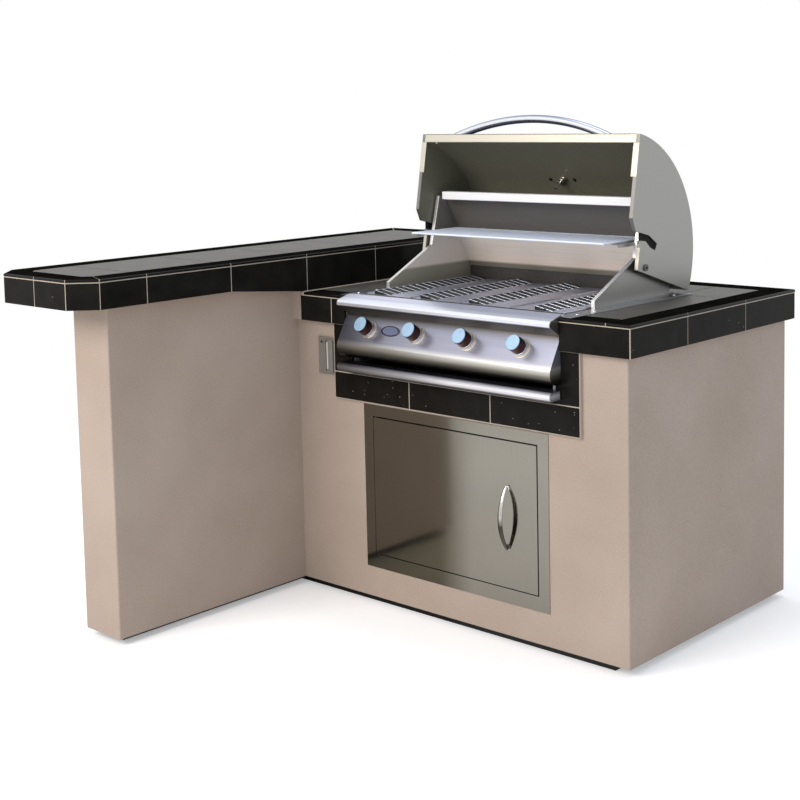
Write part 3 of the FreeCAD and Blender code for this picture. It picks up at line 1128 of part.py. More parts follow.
def make_hood_sides():
    tail = polar("hood_r", "-hood_tail")
    tip = polar("hood_r", "hood_open")
    edge = [("side_low_y + notch_back * (%s)" % y, "side_low_z + notch_high * (%s)" % z)
            for y, z, _ in SIDE_EDGE]
    body = [tail] + edge + [
        tip, ("hood_y + hood_r * 0.4", "hood_z + hood_r * 0.7"),
        ("hood_y + hood_r * 0.7", "hood_z + hood_r * 0.4"),
    ]
    bands = []
    for i, shift in enumerate([shift for _, _, shift in SIDE_EDGE] + [(2, 0)]):
        (ay, az), (by, bz) = body[i], body[i + 1]
        dy, dz = [("%s * hood_sheet / 2" % step) for step in shift]
        ring = [(ay, az), (by, bz), ("%s + %s" % (by, dy), "%s + %s" % (bz, dz)),
                ("%s + %s" % (ay, dy), "%s + %s" % (az, dz))]
        bands.append(profile("side_band_%d" % i, "YZ", ring, "hood_half - hood_side", "hood_half"))
    core = profile("side_core", "YZ", body, "hood_half - hood_side", "hood_half")
    disc = rod("side_disc", "x", ("hood_half - hood_side", "hood_y", "hood_z"), "hood_r", "hood_side")
    keep = profile("side_keep", "YZ", [
        tail, polar("hood_r * 1.5", "-hood_tail"), polar("hood_r * 1.6", "28"),
        polar("hood_r * 1.5", "hood_open"), tip, ("hood_y + hood_r * 0.4", "hood_z + hood_r * 0.7"),
        ("hood_y + hood_r * 0.7", "hood_z + hood_r * 0.4")],
        "hood_half - hood_side - 1", "hood_half + 1")
    moon = doc.addObject("Part::Common", "side_moon")
    moon.Base = disc
    moon.Tool = keep
    whole = fuse("side_whole", [core, moon])
    bore = rod("pivot_bore", "x", ("hood_half - hood_side - 5", "pivot_y", "pivot_z"), "pivot_r + fit",
               "hood_side + 10")
    all_y = ("hood_y - hood_r", "hood_y + hood_r")
    all_z = ("hood_z - hood_r", "hood_z + hood_r")
    inner_face = "hood_half - hood_side"
    skins = [
        block("side_inner_slab", (inner_face, inner_face + " + hood_sheet"), all_y, all_z),
        block("side_outer_slab", ("hood_half - hood_sheet", "hood_half"), all_y, all_z),
    ]
    plates = doc.addObject("Part::Common", "side_plates")
    plates.Base = whole
    plates.Tool = group("side_slabs", skins)
    boss = rod("pivot_boss", "x", ("hood_half - hood_side", "pivot_y", "pivot_z"), "pivot_r + 5", "hood_side")
    arc = hood_ring("side_arc", "hood_r", "hood_sheet", ("hood_half - hood_side", "hood_half"))
    panel = cut("side_panel", fuse("side_shell", [plates, boss, arc] + bands), [bore])
    node(pair("hood_sides_pair", panel), "hood_side_panels")
    bolt = rod("pivot_bolt", "x", ("box_half", "pivot_y", "pivot_z"), "pivot_r",
               "hood_half - box_half + 0.5")
    head = rod("pivot_head", "x", ("hood_half + 0.5", "pivot_y", "pivot_z"), "pivot_r + 4", "4")
    washer = rod("pivot_washer", "x", ("box_half", "pivot_y", "pivot_z"), "pivot_r + 6",
                 "hood_half - hood_side - box_half - 0.5")
    node(pair("pivot_pair", fuse("pivot", [bolt, head, washer])), "hood_pivots")


def make_hood_fittings():
    bow = "(grip_half ^ 2 + grip_rise ^ 2) / (2 * grip_rise)"
    body = doc.addObject("PartDesign::Body", "grip_body")
    sketch = body.newObject("Sketcher::SketchObject", "grip_section")
    base = [part for part in body.Origin.OriginFeatures if part.Role == "YZ_Plane"][0]
    sketch.AttachmentSupport = [(base, "")]
    sketch.MapMode = "FlatFace"
    # These three only start the sketch and the turn: the bound values take their place.
    far_start, thick_start, turn_start = 900, 11, 10
    ring = Part.Circle(FreeCAD.Vector(0, far_start, 0), FreeCAD.Vector(0, 0, 1), thick_start)
    sketch.addGeometry(ring, False)
    sketch.addConstraint(Sketcher.Constraint("DistanceX", -1, 1, 0, 3, 0))
    far = sketch.addConstraint(Sketcher.Constraint("DistanceY", -1, 1, 0, 3, far_start))
    sketch.renameConstraint(far, "far")
    thick = sketch.addConstraint(Sketcher.Constraint("Radius", 0, thick_start))
    sketch.renameConstraint(thick, "thick")
    bind(sketch, "Constraints.far", bow)
    bind(sketch, "Constraints.thick", "grip_r")
    turn = body.newObject("PartDesign::Revolution", "grip_turn")
    turn.Profile = sketch
    turn.ReferenceAxis = ([part for part in body.Origin.OriginFeatures if part.Role == "Y_Axis"][0], [""])
    turn.Midplane = True
    bind(turn, "Angle", "2 * asin(grip_half / (%s))" % bow)
    turned = FreeCAD.Rotation(FreeCAD.Vector(1, 0, 0), turn_start)
    body.Placement = FreeCAD.Placement(FreeCAD.Vector(), turned)
    bind(body, "Placement.Rotation.Angle", "-(90 - grip_angle)")
    reach = "(hood_r - grip_sink + grip_rise - %s)" % bow
    place = polar(reach, "grip_angle")
    put(body, "0", place[0], place[1])
    skin = rod("grip_trim", "x", ("-hood_half", "hood_y", "hood_z"), "hood_r", "2 * hood_half")
    node(cut("grip_cut", body, [skin]), "hood_handle")
    lean_by = "-(90 - dial_angle)"
    start = ("0", "hood_y", "hood_z")
    dial = lean("dial_body", lean_by, start, "dial_r", "dial_deep", "hood_r + dial_gap")
    edge = lean("dial_edge", lean_by, start, "dial_r - dial_lip", "cup_deep", "hood_r + dial_deep - cup_sunk")
    stem = lean("dial_stem", lean_by, start, "stem_r", "hood_gap + stem_long + stem_in",
                "hood_inner - stem_long")
    nut = lean("dial_nut", lean_by, start, "stem_r + nut_lip", "nut_thick",
               "hood_inner - nut_thick - nut_gap")
    node(fuse("dial_whole", [cut("dial_cup", dial, [edge]), stem, nut]), "hood_thermometer")


# drip tray

def make_tray():
    depth = ("-rail_back", "tray_back")
    top = ("tray_low + tray_sheet", "tray_rim + tray_sheet")
    across = ("-tray_half + tray_sheet", "tray_half - tray_sheet")
    rim = block("tray_rim_sheet", ("tray_half", "tray_half + rim_wide"),
                ("box_front + sheet + tray_lead", "tray_back"), ("tray_rim", "tray_rim + tray_sheet"))
    side = block("tray_side", ("tray_half - tray_sheet", "tray_half"), depth, top)
    sheets = [
        block("tray_floor", ("-tray_half", "tray_half"), depth, ("tray_low", "tray_low + tray_sheet")),
        block("tray_front_wall", across, ("-rail_back", "-rail_back + tray_sheet"), top),
        block("tray_back_wall", across, ("tray_back - tray_sheet", "tray_back"), top),
        side, mirror("tray_side_twin", side), rim, mirror("tray_rim_twin", rim),
    ]
    node(group("tray_sheets", sheets), "drip_tray")
    front = [("-rail_back", "rail_top"), ("-rail_front + 8", "rail_top"), ("-rail_front", "rail_top - 8"),
             ("-rail_front", "rail_low + 6"), ("-rail_front + 6", "rail_low"), ("-rail_back", "rail_low"),
             ("-rail_back", "rail_low + sheet"), ("-rail_front + 7", "rail_low + sheet"),
             ("-rail_front + sheet", "rail_low + 7"), ("-rail_front + sheet", "rail_top - 9"),
             ("-rail_front + 9", "rail_top - sheet"), ("-rail_back", "rail_top - sheet")]
    bar = profile("tray_bar", "YZ", front, "-panel_half + sheet", "panel_half - sheet")
    caps = [("-rail_back", "rail_top"), ("-rail_front + 8", "rail_top"), ("-rail_front", "rail_top - 8"),
            ("-rail_front", "rail_low + 6"), ("-rail_front + 6", "rail_low"), ("-rail_back", "rail_low")]
    cap = profile("tray_cap", "YZ", caps, "panel_half - sheet", "panel_half")
    web = block("tray_web", ("-panel_half + sheet", "panel_half - sheet"),
                ("-rail_back - sheet", "-rail_back"), ("rail_low + sheet", "rail_top - sheet"))
    node(fuse("tray_front_raw", [bar, cap, mirror("tray_cap_twin", cap), web]), "drip_tray_front")
    leg = block("guide_leg", ("tray_half + rim_wide + guide_gap", "tray_half + rim_wide + guide_gap + sheet"),
                ("box_front + sheet", "tray_back"), ("tray_rim - tray_play - sheet", "box_low"))
    foot = block("guide_foot", ("tray_half + rim_wide - guide_wide", "tray_half + rim_wide + guide_gap"),
                 ("box_front + sheet", "tray_back"), ("tray_rim - tray_play - sheet", "tray_rim - tray_play"))
    node(pair("guide_pair", group("guide", [leg, foot])), "tray_guides")


def make_screws():
    heads = []
    x = "flange_half - screw_edge"
    for i, y in enumerate(("screw_edge + 30", "slope_start - screw_ahead", "box_back - screw_edge")):
        head = rod("screw_%d" % i, "z", (x, y, "flange_top"), "screw_r", "screw_head")
        heads += [head, mirror("screw_%d_twin" % i, head)]
    node(group("screw_group", heads), "flange_screws")


make_plinth()
make_base_frame()
make_bar_frame()
make_boards()
make_stucco()
make_counter_deck()
make_counter_tiles()
make_bar_top()
make_bar_tiles()
make_outlet()
make_door()
make_firebox()
make_side_walls()
make_back_panel()
make_lip()
make_control_panel()
make_knobs()
make_gas_parts()
make_ledges()
make_heat_plates()
make_grates()
make_rack()
make_hood()
make_hood_fittings()
make_tray()
make_screws()

doc.recompute()
for thing in doc.Objects:
    if "Invalid" in thing.State or "Error" in thing.State:
        raise RuntimeError("%s did not build" % thing.Name)
for thing in NODES:
    if thing.Shape.isNull() or not thing.Shape.isValid():
        raise RuntimeError("%s has no sound shape" % thing.Label)
os.makedirs("parts", exist_ok=True)
for thing in NODES:
    thing.Shape.exportStep("parts/%s.step" % thing.Label)
    print("%-24s solids %3d volume %12.0f" % (thing.Label, len(thing.Shape.Solids), thing.Shape.Volume))
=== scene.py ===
import json
import math
import bmesh
import bpy
from mathutils import Matrix, Vector


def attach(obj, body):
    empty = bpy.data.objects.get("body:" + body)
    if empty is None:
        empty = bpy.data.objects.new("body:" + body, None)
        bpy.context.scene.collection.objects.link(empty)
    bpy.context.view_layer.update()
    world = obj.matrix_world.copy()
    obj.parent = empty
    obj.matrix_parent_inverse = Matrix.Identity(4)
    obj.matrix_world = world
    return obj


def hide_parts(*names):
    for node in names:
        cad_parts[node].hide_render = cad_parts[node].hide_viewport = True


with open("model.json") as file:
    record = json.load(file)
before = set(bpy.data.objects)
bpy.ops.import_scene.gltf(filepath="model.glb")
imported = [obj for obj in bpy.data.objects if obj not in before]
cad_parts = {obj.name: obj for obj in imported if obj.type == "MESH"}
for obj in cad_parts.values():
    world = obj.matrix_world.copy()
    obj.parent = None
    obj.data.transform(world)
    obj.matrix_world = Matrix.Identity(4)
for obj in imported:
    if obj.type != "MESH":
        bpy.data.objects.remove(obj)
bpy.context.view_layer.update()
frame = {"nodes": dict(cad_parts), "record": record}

# Outdoor kitchen island: stucco base and bar wall, black glazed tile tops, a stainless gas grill.
# The frame is in metres: origin on the floor in the base's front plane, on the grill's centre line.
# Shapes are written in millimetres and turned into metres as they are made; the studio is in metres.

MM = 0.001
NODES = frame["nodes"]
BODY_OF = {member: body for body, members in frame["record"]["behaviour"]["bodies"].items()
           for member in members}
SLOT_OF = {part["node"]: part["material_slot"] for part in frame["record"]["subparts"]}


# Materials

def colour(code):
    """An sRGB hex colour as the linear values that a shader takes."""
    parts = [int(code[i:i + 2], 16) / 255 for i in (1, 3, 5)]
    return [v / 12.92 if v <= 0.04045 else ((v + 0.055) / 1.055) ** 2.4 for v in parts] + [1.0]


def add(tree, kind, inputs=None, stops=None, **settings):
    """Adds a node with its settings, values, links and ramp colours."""
    node = tree.nodes.new(kind)
    for name, value in settings.items():
        setattr(node, name, value)
    for socket, value in (inputs or {}).items():
        if isinstance(value, bpy.types.NodeSocket):
            tree.links.new(value, node.inputs[socket])
        else:
            node.inputs[socket].default_value = value
    for index, (at, code) in enumerate(stops or []):
        if index > 1:
            node.color_ramp.elements.new(at)
        node.color_ramp.elements[index].position = at
        node.color_ramp.elements[index].color = colour(code)
    return node


def begin(name, **constants):
    """A new material: its tree, its shader with constant values set, and its Object coordinates."""
    material = bpy.data.materials.new(name)
    material.use_nodes = True
    tree = material.node_tree
    shader = tree.nodes["Principled BSDF"]
    for socket, value in constants.items():
        shader.inputs[socket.replace("_", " ")].default_value = value
    place = add(tree, "ShaderNodeTexCoord").outputs["Object"]
    return material, tree, shader, place


def coat(tree, shader, tone, height, strength, depth_mm):
    """Gives the shader its colour and a relief of this depth."""
    tree.links.new(tone, shader.inputs["Base Color"])
    normal = add(tree, "ShaderNodeBump", {"Height": height, "Strength": strength,
                                          "Distance": depth_mm * MM})
    tree.links.new(normal.outputs["Normal"], shader.inputs["Normal"])


def per_mm(size):
    """The texture scale at which a feature is this many millimetres across."""
    return 1.0 / (size * MM)


def facing(tree):
    """The way that the surface faces, split into X, Y and Z."""
    way = add(tree, "ShaderNodeNewGeometry")
    return add(tree, "ShaderNodeSeparateXYZ", {"Vector": way.outputs["Normal"]})


LINE_STRETCH = 90.0


def brush_lines(tree, place, along, line_mm):
    """Fine parallel lines along one axis, as a sanding belt leaves them on sheet."""
    stretch = [1.0 if axis == along else LINE_STRETCH for axis in "xyz"]
    drawn = add(tree, "ShaderNodeMapping", {"Vector": place, "Scale": stretch})
    lines = add(tree, "ShaderNodeTexNoise",
                {"Vector": drawn.outputs["Vector"], "Scale": per_mm(line_mm * LINE_STRETCH),
                 "Detail": 4.0, "Roughness": 0.65})
    return lines.outputs["Fac"]


def stucco(name, light, dark):
    """Floated cement stucco: warm beige, faint trowel clouds, sand drawn at 4 mm so that it shows."""
    material, tree, shader, place = begin(name, Roughness=0.93, Specular_IOR_Level=0.25)
    clouds = add(tree, "ShaderNodeTexNoise", {"Vector": place, "Scale": per_mm(330), "Detail": 4.0})
    sand = add(tree, "ShaderNodeTexNoise", {"Vector": place, "Scale": per_mm(4), "Detail": 3.0,
                                            "Roughness": 0.7})
    marks = add(tree, "ShaderNodeTexNoise", {"Vector": place, "Scale": per_mm(38), "Detail": 5.0})
    base = add(tree, "ShaderNodeValToRGB", {"Fac": clouds.outputs["Fac"]},
               [(0.3, dark), (0.72, light)])
    grain = add(tree, "ShaderNodeValToRGB", {"Fac": sand.outputs["Fac"]},
                [(0.3, "#E6E6E6"), (0.7, "#FFFFFF")])
    tint = add(tree, "ShaderNodeMix", {0: 1.0, 6: base.outputs["Color"], 7: grain.outputs["Color"]},
               data_type="RGBA", blend_type="MULTIPLY")
    relief = add(tree, "ShaderNodeMath", {0: sand.outputs["Fac"], 1: marks.outputs["Fac"]},
                 operation="ADD")
    coat(tree, shader, tint.outputs[2], relief.outputs["Value"], 0.5, 0.7)
    return material


FLECK_LEAST = 0.72
FLECK_SPREAD = 1.08


def glazed_tile(name, body_codes, fleck_code, rough, sheen, flecks=0.33, level_sheen=None, cell_mm=24.0):
    """Black glazed porcelain with small pale mineral flecks and a slightly wavy fired surface.
    Level faces can have their own sheen, so that a level top mirrors less sky than an edge does."""
    material, tree, shader, place = begin(name, Specular_IOR_Level=sheen)
    if level_sheen is not None:
        worn = add(tree, "ShaderNodeMapRange",
                   {"Value": facing(tree).outputs["Z"], "From Min": 0.8, "From Max": 0.98,
                    "To Min": sheen, "To Max": level_sheen})
        tree.links.new(worn.outputs["Result"], shader.inputs["Specular IOR Level"])
    cells = add(tree, "ShaderNodeTexVoronoi", {"Vector": place, "Scale": per_mm(cell_mm)})
    picked = add(tree, "ShaderNodeSeparateColor", {"Color": cells.outputs["Color"]})
    chosen = add(tree, "ShaderNodeMath", {0: picked.outputs["Red"], 1: flecks},
                 operation="LESS_THAN")
    radius = add(tree, "ShaderNodeMath",
                 {0: picked.outputs["Green"], 1: FLECK_SPREAD / cell_mm, 2: FLECK_LEAST / cell_mm},
                 operation="MULTIPLY_ADD")
    inside = add(tree, "ShaderNodeMath", {0: cells.outputs["Distance"], 1: radius.outputs["Value"]},
                 operation="LESS_THAN")
    fleck = add(tree, "ShaderNodeMath", {0: chosen.outputs["Value"], 1: inside.outputs["Value"]},
                operation="MULTIPLY")
    clouds = add(tree, "ShaderNodeTexNoise", {"Vector": place, "Scale": per_mm(60), "Detail": 3.0})
    body = add(tree, "ShaderNodeValToRGB", {"Fac": clouds.outputs["Fac"]},
               [(0.3, body_codes[0]), (0.7, body_codes[1])])
    tint = add(tree, "ShaderNodeMix",
               {0: fleck.outputs["Value"], 6: body.outputs["Color"], 7: colour(fleck_code)},
               data_type="RGBA")
    gloss = add(tree, "ShaderNodeMapRange", {"Value": clouds.outputs["Fac"], "To Min": rough,
                                             "To Max": rough * 1.6})
    tree.links.new(gloss.outputs["Result"], shader.inputs["Roughness"])
    wave = add(tree, "ShaderNodeTexNoise", {"Vector": place, "Scale": per_mm(45), "Detail": 1.0})
    coat(tree, shader, tint.outputs[2], wave.outputs["Fac"], 0.35, 0.5)
    return material


def gritty(name, light, dark, grit_mm, rough=0.9, depth=0.4):
    """A dry sanded surface such as grout, cement board or powder paint: matte, with grit of this size."""
    material, tree, shader, place = begin(name, Roughness=rough, Specular_IOR_Level=0.3)
    grit = add(tree, "ShaderNodeTexNoise", {"Vector": place, "Scale": per_mm(grit_mm), "Detail": 4.0})
    base = add(tree, "ShaderNodeValToRGB", {"Fac": grit.outputs["Fac"]}, [(0.3, dark), (0.7, light)])
    coat(tree, shader, base.outputs["Color"], grit.outputs["Fac"], 0.5, depth)
    return material


def brushed(name, light, dark, rough, along, line_mm=1.6, depth=0.05, smudge=0.35):
    """Brushed stainless sheet: fine parallel lines along one way, and soft hand smudges in its gloss.
    The real lines are about 0.2 mm apart and are drawn wider so that they show."""
    material, tree, shader, place = begin(name, Metallic=1.0)
    lines = brush_lines(tree, place, along, line_mm)
    clouds = add(tree, "ShaderNodeTexNoise", {"Vector": place, "Scale": per_mm(120), "Detail": 3.0})
    base = add(tree, "ShaderNodeValToRGB", {"Fac": lines}, [(0.25, dark), (0.75, light)])
    gloss = add(tree, "ShaderNodeMapRange",
                {"Value": clouds.outputs["Fac"], "To Min": rough * (1 - smudge / 2),
                 "To Max": rough * (1 + smudge)})
    tree.links.new(gloss.outputs["Result"], shader.inputs["Roughness"])
    coat(tree, shader, base.outputs["Color"], lines, 0.5, depth)
    return material


def polished(name, code, rough):
    """Polished metal: a near mirror with faint wiping marks in its gloss."""
    material, tree, shader, place = begin(name, Metallic=1.0, Base_Color=colour(code))
    wipes = add(tree, "ShaderNodeTexNoise", {"Vector": place, "Scale": per_mm(14), "Detail": 3.0})
    gloss = add(tree, "ShaderNodeMapRange", {"Value": wipes.outputs["Fac"], "To Min": rough * 0.6,
                                             "To Max": rough * 1.7})
    tree.links.new(gloss.outputs["Result"], shader.inputs["Roughness"])
    return material


def moulded(name, light, dark, rough, grain_mm=0.9):
    """Plastic, enamel or dulled steel: an even colour with a fine orange peel in its gloss."""
    material, tree, shader, place = begin(name, Roughness=rough)
    peel = add(tree, "ShaderNodeTexNoise", {"Vector": place, "Scale": per_mm(grain_mm), "Detail": 2.0})
    base = add(tree, "ShaderNodeValToRGB", {"Fac": peel.outputs["Fac"]}, [(0.3, dark), (0.7, light)])
    coat(tree, shader, base.outputs["Color"], peel.outputs["Fac"], 0.3, 0.1)
    return material


def plywood(name):
    """Exterior plywood: pale brown veneer with long darker grain along Y."""
    material, tree, shader, place = begin(name, Roughness=0.75)
    drawn = add(tree, "ShaderNodeMapping", {"Vector": place, "Scale": [14.0, 1.0, 14.0]})
    grain = add(tree, "ShaderNodeTexNoise",
                {"Vector": drawn.outputs["Vector"], "Scale": per_mm(180), "Detail": 5.0})
    base = add(tree, "ShaderNodeValToRGB", {"Fac": grain.outputs["Fac"]},
               [(0.32, "#8A6B47"), (0.68, "#B89A70")])
    coat(tree, shader, base.outputs["Color"], grain.outputs["Fac"], 0.4, 0.3)
    return material


def banded(name, stops, rough, metal=0.7, sideways=None):
    """Brushed sheet whose tone changes with height, as painted reflections, painted highlights and painted
    light and shade.
    The stops are pairs of a height in millimetres and a colour; sideways holds the same for X."""
    material, tree, shader, place = begin(name, Metallic=metal, Roughness=rough)
    parts = add(tree, "ShaderNodeSeparateXYZ", {"Vector": place})
    tones = []
    for axis, pairs in (("Z", stops), ("X", sideways)):
        if pairs:
            low, high = pairs[0][0], pairs[-1][0]
            reach = add(tree, "ShaderNodeMapRange", {"Value": parts.outputs[axis], "From Min": low * MM,
                                                     "From Max": high * MM})
            ramp = [((at - low) / (high - low), code) for at, code in pairs]
            tones.append(add(tree, "ShaderNodeValToRGB", {"Fac": reach.outputs["Result"]}, ramp))
    lines = brush_lines(tree, place, "x", 1.6)
    grain = add(tree, "ShaderNodeValToRGB", {"Fac": lines}, [(0.3, "#E9E9E9"), (0.7, "#FFFFFF")])
    tint = grain.outputs["Color"]
    for tone in tones:
        tint = add(tree, "ShaderNodeMix", {0: 1.0, 6: tint, 7: tone.outputs["Color"]},
                   data_type="RGBA", blend_type="MULTIPLY").outputs[2]
    coat(tree, shader, tint, lines, 0.4, 0.04)
    return material


def rounded(name, stops, rough):
    """Polished bar with painted reflections by the way that it faces: the sky above, a pale band ahead and
    the dark ground below.
    The stops are pairs of how far the surface faces up, from -1 to 1, and a colour."""
    material, tree, shader, place = begin(name, Metallic=1.0, Roughness=rough)
    wiped = 0.08
    wipes = add(tree, "ShaderNodeTexNoise", {"Vector": place, "Scale": per_mm(14), "Detail": 3.0})
    tone = add(tree, "ShaderNodeMath",
               {0: wipes.outputs["Fac"], 1: wiped, 2: facing(tree).outputs["Z"]},
               operation="MULTIPLY_ADD")
    level = add(tree, "ShaderNodeMapRange",
                {"Value": tone.outputs["Value"], "From Min": wiped / 2 - 1.0, "From Max": wiped / 2 + 1.0})
    base = add(tree, "ShaderNodeValToRGB", {"Fac": level.outputs["Result"]},
               [((up + 1.0) / 2.0, code) for up, code in stops])
    tree.links.new(base.outputs["Color"], shader.inputs["Base Color"])
    return material


def fronted(name, side_code, front_code, rough, glint_code):
    """Satin sheet whose narrow folded edges, which face the front, are painted in their own tone, lighter or
    darker than the sides: painted light on those edges.
    """
    material, tree, shader, place = begin(name, Metallic=0.8, Roughness=rough)
    ahead = add(tree, "ShaderNodeMapRange",
                {"Value": facing(tree).outputs["Y"], "From Min": -0.25, "From Max": -0.6})
    grain = add(tree, "ShaderNodeTexNoise", {"Vector": place, "Scale": per_mm(2.5), "Detail": 2.0})
    edge = add(tree, "ShaderNodeValToRGB", {"Fac": grain.outputs["Fac"]},
               [(0.3, front_code), (0.7, glint_code)])
    tint = add(tree, "ShaderNodeMix",
               {0: ahead.outputs["Result"], 6: colour(side_code), 7: edge.outputs["Color"]},
               data_type="RGBA")
    tree.links.new(tint.outputs[2], shader.inputs["Base Color"])
    return material


STUCCO = stucco("floated_beige_stucco", "#C2B1A3", "#B5A495")
GROUT = gritty("sanded_beige_grout", "#C8BDAC", "#B5A998", 1.5)
BOARD = gritty("cement_board", "#A3A29D", "#8C8B86", 3.0)
PLINTH = gritty("black_powder_paint", "#1D1E20", "#111214", 0.8, rough=0.55, depth=0.15)
PLYWOOD = plywood("exterior_plywood")

# The same black tile four times: deep and glossy on the aprons, flecked round the grill, grey on the tops,
# partly worn where hands and plates rub them and partly a painted sheen of the sky mirrored at a low angle,
# and blackest with bright rims along the borders.
TILE = glazed_tile("black_glazed_tile", ("#161513", "#1F1E1B"), "#8C8B84", rough=0.12, sheen=0.05)
TILE_SURROUND = glazed_tile("flecked_black_tile", ("#161412", "#1E1C19"), "#D8D5C8", rough=0.12,
                            sheen=0.07, flecks=0.5, cell_mm=13.0)
# Painted sheen: the grey colour of the tops stands in for the sky that the black tile mirrors at a low
# angle.
TILE_TOP = glazed_tile("honed_black_tile_painted_sheen", ("#43423F", "#504F4B"), "#7A7975", rough=0.32, sheen=0.12,
                       flecks=0.2)
TILE_EDGE = glazed_tile("polished_edge_tile", ("#0C0C0B", "#141311"), "#4F4F4A", rough=0.14,
                        sheen=0.14, flecks=0.2, level_sheen=0.0)

# Plain brushed metal, named for the way that its lines run or for what it is.
GALVANISED = brushed("galvanised_steel", "#B9BCBE", "#989C9F", 0.45, "z", line_mm=12.0)
STEEL_X = brushed("brushed_stainless_across", "#A9ACB4", "#9296A0", 0.27, "x")
STEEL_BEAD = brushed("pale_grate_bead", "#D4D8E4", "#BEC3D0", 0.24, "y")
# Painted reflection: the pale blue colour stands for the sky that the grate plates mirror.
STEEL_Y = brushed("sky_tinted_grate_stainless", "#D6DBEE", "#C2C7DC", 0.28, "y", depth=0.02)
STEEL_DOOR = brushed("door_stainless", "#928E85", "#8B877E", 0.09, "z", line_mm=1.4, depth=0.008,
                     smudge=0.12)
STEEL_RIM = brushed("pale_rim_stainless", "#C3C0B3", "#BAB7AB", 0.4, "x")

# Metal in bands of tone by height and across: painted reflections of the patio that it mirrors, painted
# highlights, and painted light and shade inside the grill.
# Painted reflection and shade: dark bands on the lip's lower part, then a bright band of mirrored sky above
# them.
STEEL_LIP = banded("lip_stainless",
                   [(894, "#8B8680"), (906, "#6B665C"), (921, "#3F3C36"), (925, "#F2F6FF"),
                    (943, "#ECF1FF"), (947, "#CBD0E4"), (952, "#D4D9EE")], 0.3, metal=0.8)
# Painted light: a dark reflection at the foot of the roll, a painted highlight along its crest, painted
# shade under the lip at the top, and the left end painted darker than the right.
STEEL_PANEL = banded("panel_stainless",
                     [(765, "#1B1B19"), (778, "#3A3933"), (791, "#86847A"), (801, "#CFCDC5"),
                      (811, "#F4F3F1"), (822, "#B8BACB"), (870, "#ADB1C5"), (886, "#A3A3AE"),
                      (894, "#858078")], 0.28, metal=0.8,
                     sideways=[(-402, "#969696"), (-300, "#C6C6C6"), (-60, "#ECECEC"), (402, "#FFFFFF")])
# Painted highlight: a bright band along the rail's middle height, darker above and below, and its left part
# painted darker.
STEEL_RAIL = banded("tray_rail_stainless",
                    [(723, "#66666A"), (730, "#CFCFD6"), (738, "#FFFFFF"), (745, "#B4B4BE"),
                     (750, "#3A3A42")], 0.3, metal=0.6,
                    sideways=[(-402, "#7A7977"), (-120, "#C6C5C7"), (60, "#FFFFFF"), (402, "#FFFFFF")])
# Painted reflection: the pull is dark low down and bright at the top.
STEEL_PULL = banded("door_pull_stainless",
                    [(268, "#6B695F"), (345, "#4A483F"), (372, "#B8B7B0"), (458, "#F4F4F2")],
                    0.14, metal=1.0)
# Painted light: a pale band where light falls under the rack, darker above it and at its foot, and a white
# band along the top rail.
STEEL_BACK = banded("back_panel_stainless",
                    [(940, "#6E6B5A"), (1002, "#8A8675"), (1010, "#FFEEDB"), (1100, "#FFF6E8"),
                     (1112, "#63605A"), (1212, "#5A5752"), (1215, "#FFFFFF"), (1245, "#FFFFFF")],
                    0.4, metal=0.0)
# Painted light on the inner faces of the side walls: a pale band where light falls under the rack, darker
# above it and at its foot.
STEEL_INNER = banded("inner_side_stainless",
                     [(940, "#8E8B78"), (1002, "#A5A28E"), (1010, "#FFF2E2"), (1100, "#FFF6EA"),
                      (1112, "#7A766E"), (1240, "#7A766E")], 0.4, metal=0.0)
# Painted shade: the front-facing edges of the hood sides are painted darker than the sides.
STEEL_SIDE = fronted("satin_side_stainless", "#A0A09D", "#7E7D7A", 0.4, "#888784")
# Painted highlight: the front-facing edges of the side walls are painted near white.
STEEL_WALL = fronted("folded_side_wall_stainless", "#9D9C99", "#EFEDE7", 0.34, "#FFFFFF")
HANDLE = rounded("polished_hood_handle",
                 [(-1.0, "#33363F"), (-0.5, "#5C6273"), (-0.15, "#D9DCE6"), (0.45, "#F1F3F8"),
                  (0.75, "#9AA3BB"), (1.0, "#6C7590")], 0.2)

# Heat, soot and shade: dull metal without any mirror.
STEEL_HOT = moulded("heat_dulled_stainless", "#747261", "#69685B", 0.44, grain_mm=6.0)
STEEL_BOX = moulded("sooted_firebox_steel", "#3A3732", "#2A2825", 0.6, grain_mm=5.0)
# Soot on the burners and heat plates; on the grates the same dark steel is painted shade in the slots.
STEEL_DARK = moulded("sooted_and_shaded_steel", "#1A1917", "#121110", 0.7, grain_mm=5.0)
SHADED = moulded("shaded_slot_steel", "#070707", "#050505", 0.9)

# Small bright and coloured parts.
CHROME = polished("polished_stainless", "#D3D8E2", 0.09)
KNOB_FACE = polished("satin_knob_face", "#93AFC8", 0.42)
# Painted reflection: the chrome barrel is coloured dark red-brown for the brown things round it that it
# mirrors.
KNOB_BARREL = polished("polished_knob_barrel", "#54352F", 0.18)
BEZEL = polished("polished_bezel_ring", "#E9E0D2", 0.3)
RACK_WIRE = moulded("plated_rack_wire", "#F0F5FF", "#E6EEFF", 0.3)
PLASTIC = moulded("moulded_grey_plastic", "#838078", "#7B7870", 0.5)
SOCKET = moulded("ivory_plastic", "#DAD6CC", "#D2CEC4", 0.4)
DARK = moulded("black_plastic", "#1B1B1C", "#141415", 0.5)
BADGE = moulded("enamelled_badge_field", "#636C88", "#565F7B", 0.35)
BADGE_EDGE = moulded("enamelled_badge_edge", "#17182A", "#10111F", 0.3)
DIAL_FACE = moulded("printed_dial_face", "#EFEDE6", "#E9E7E0", 0.4)

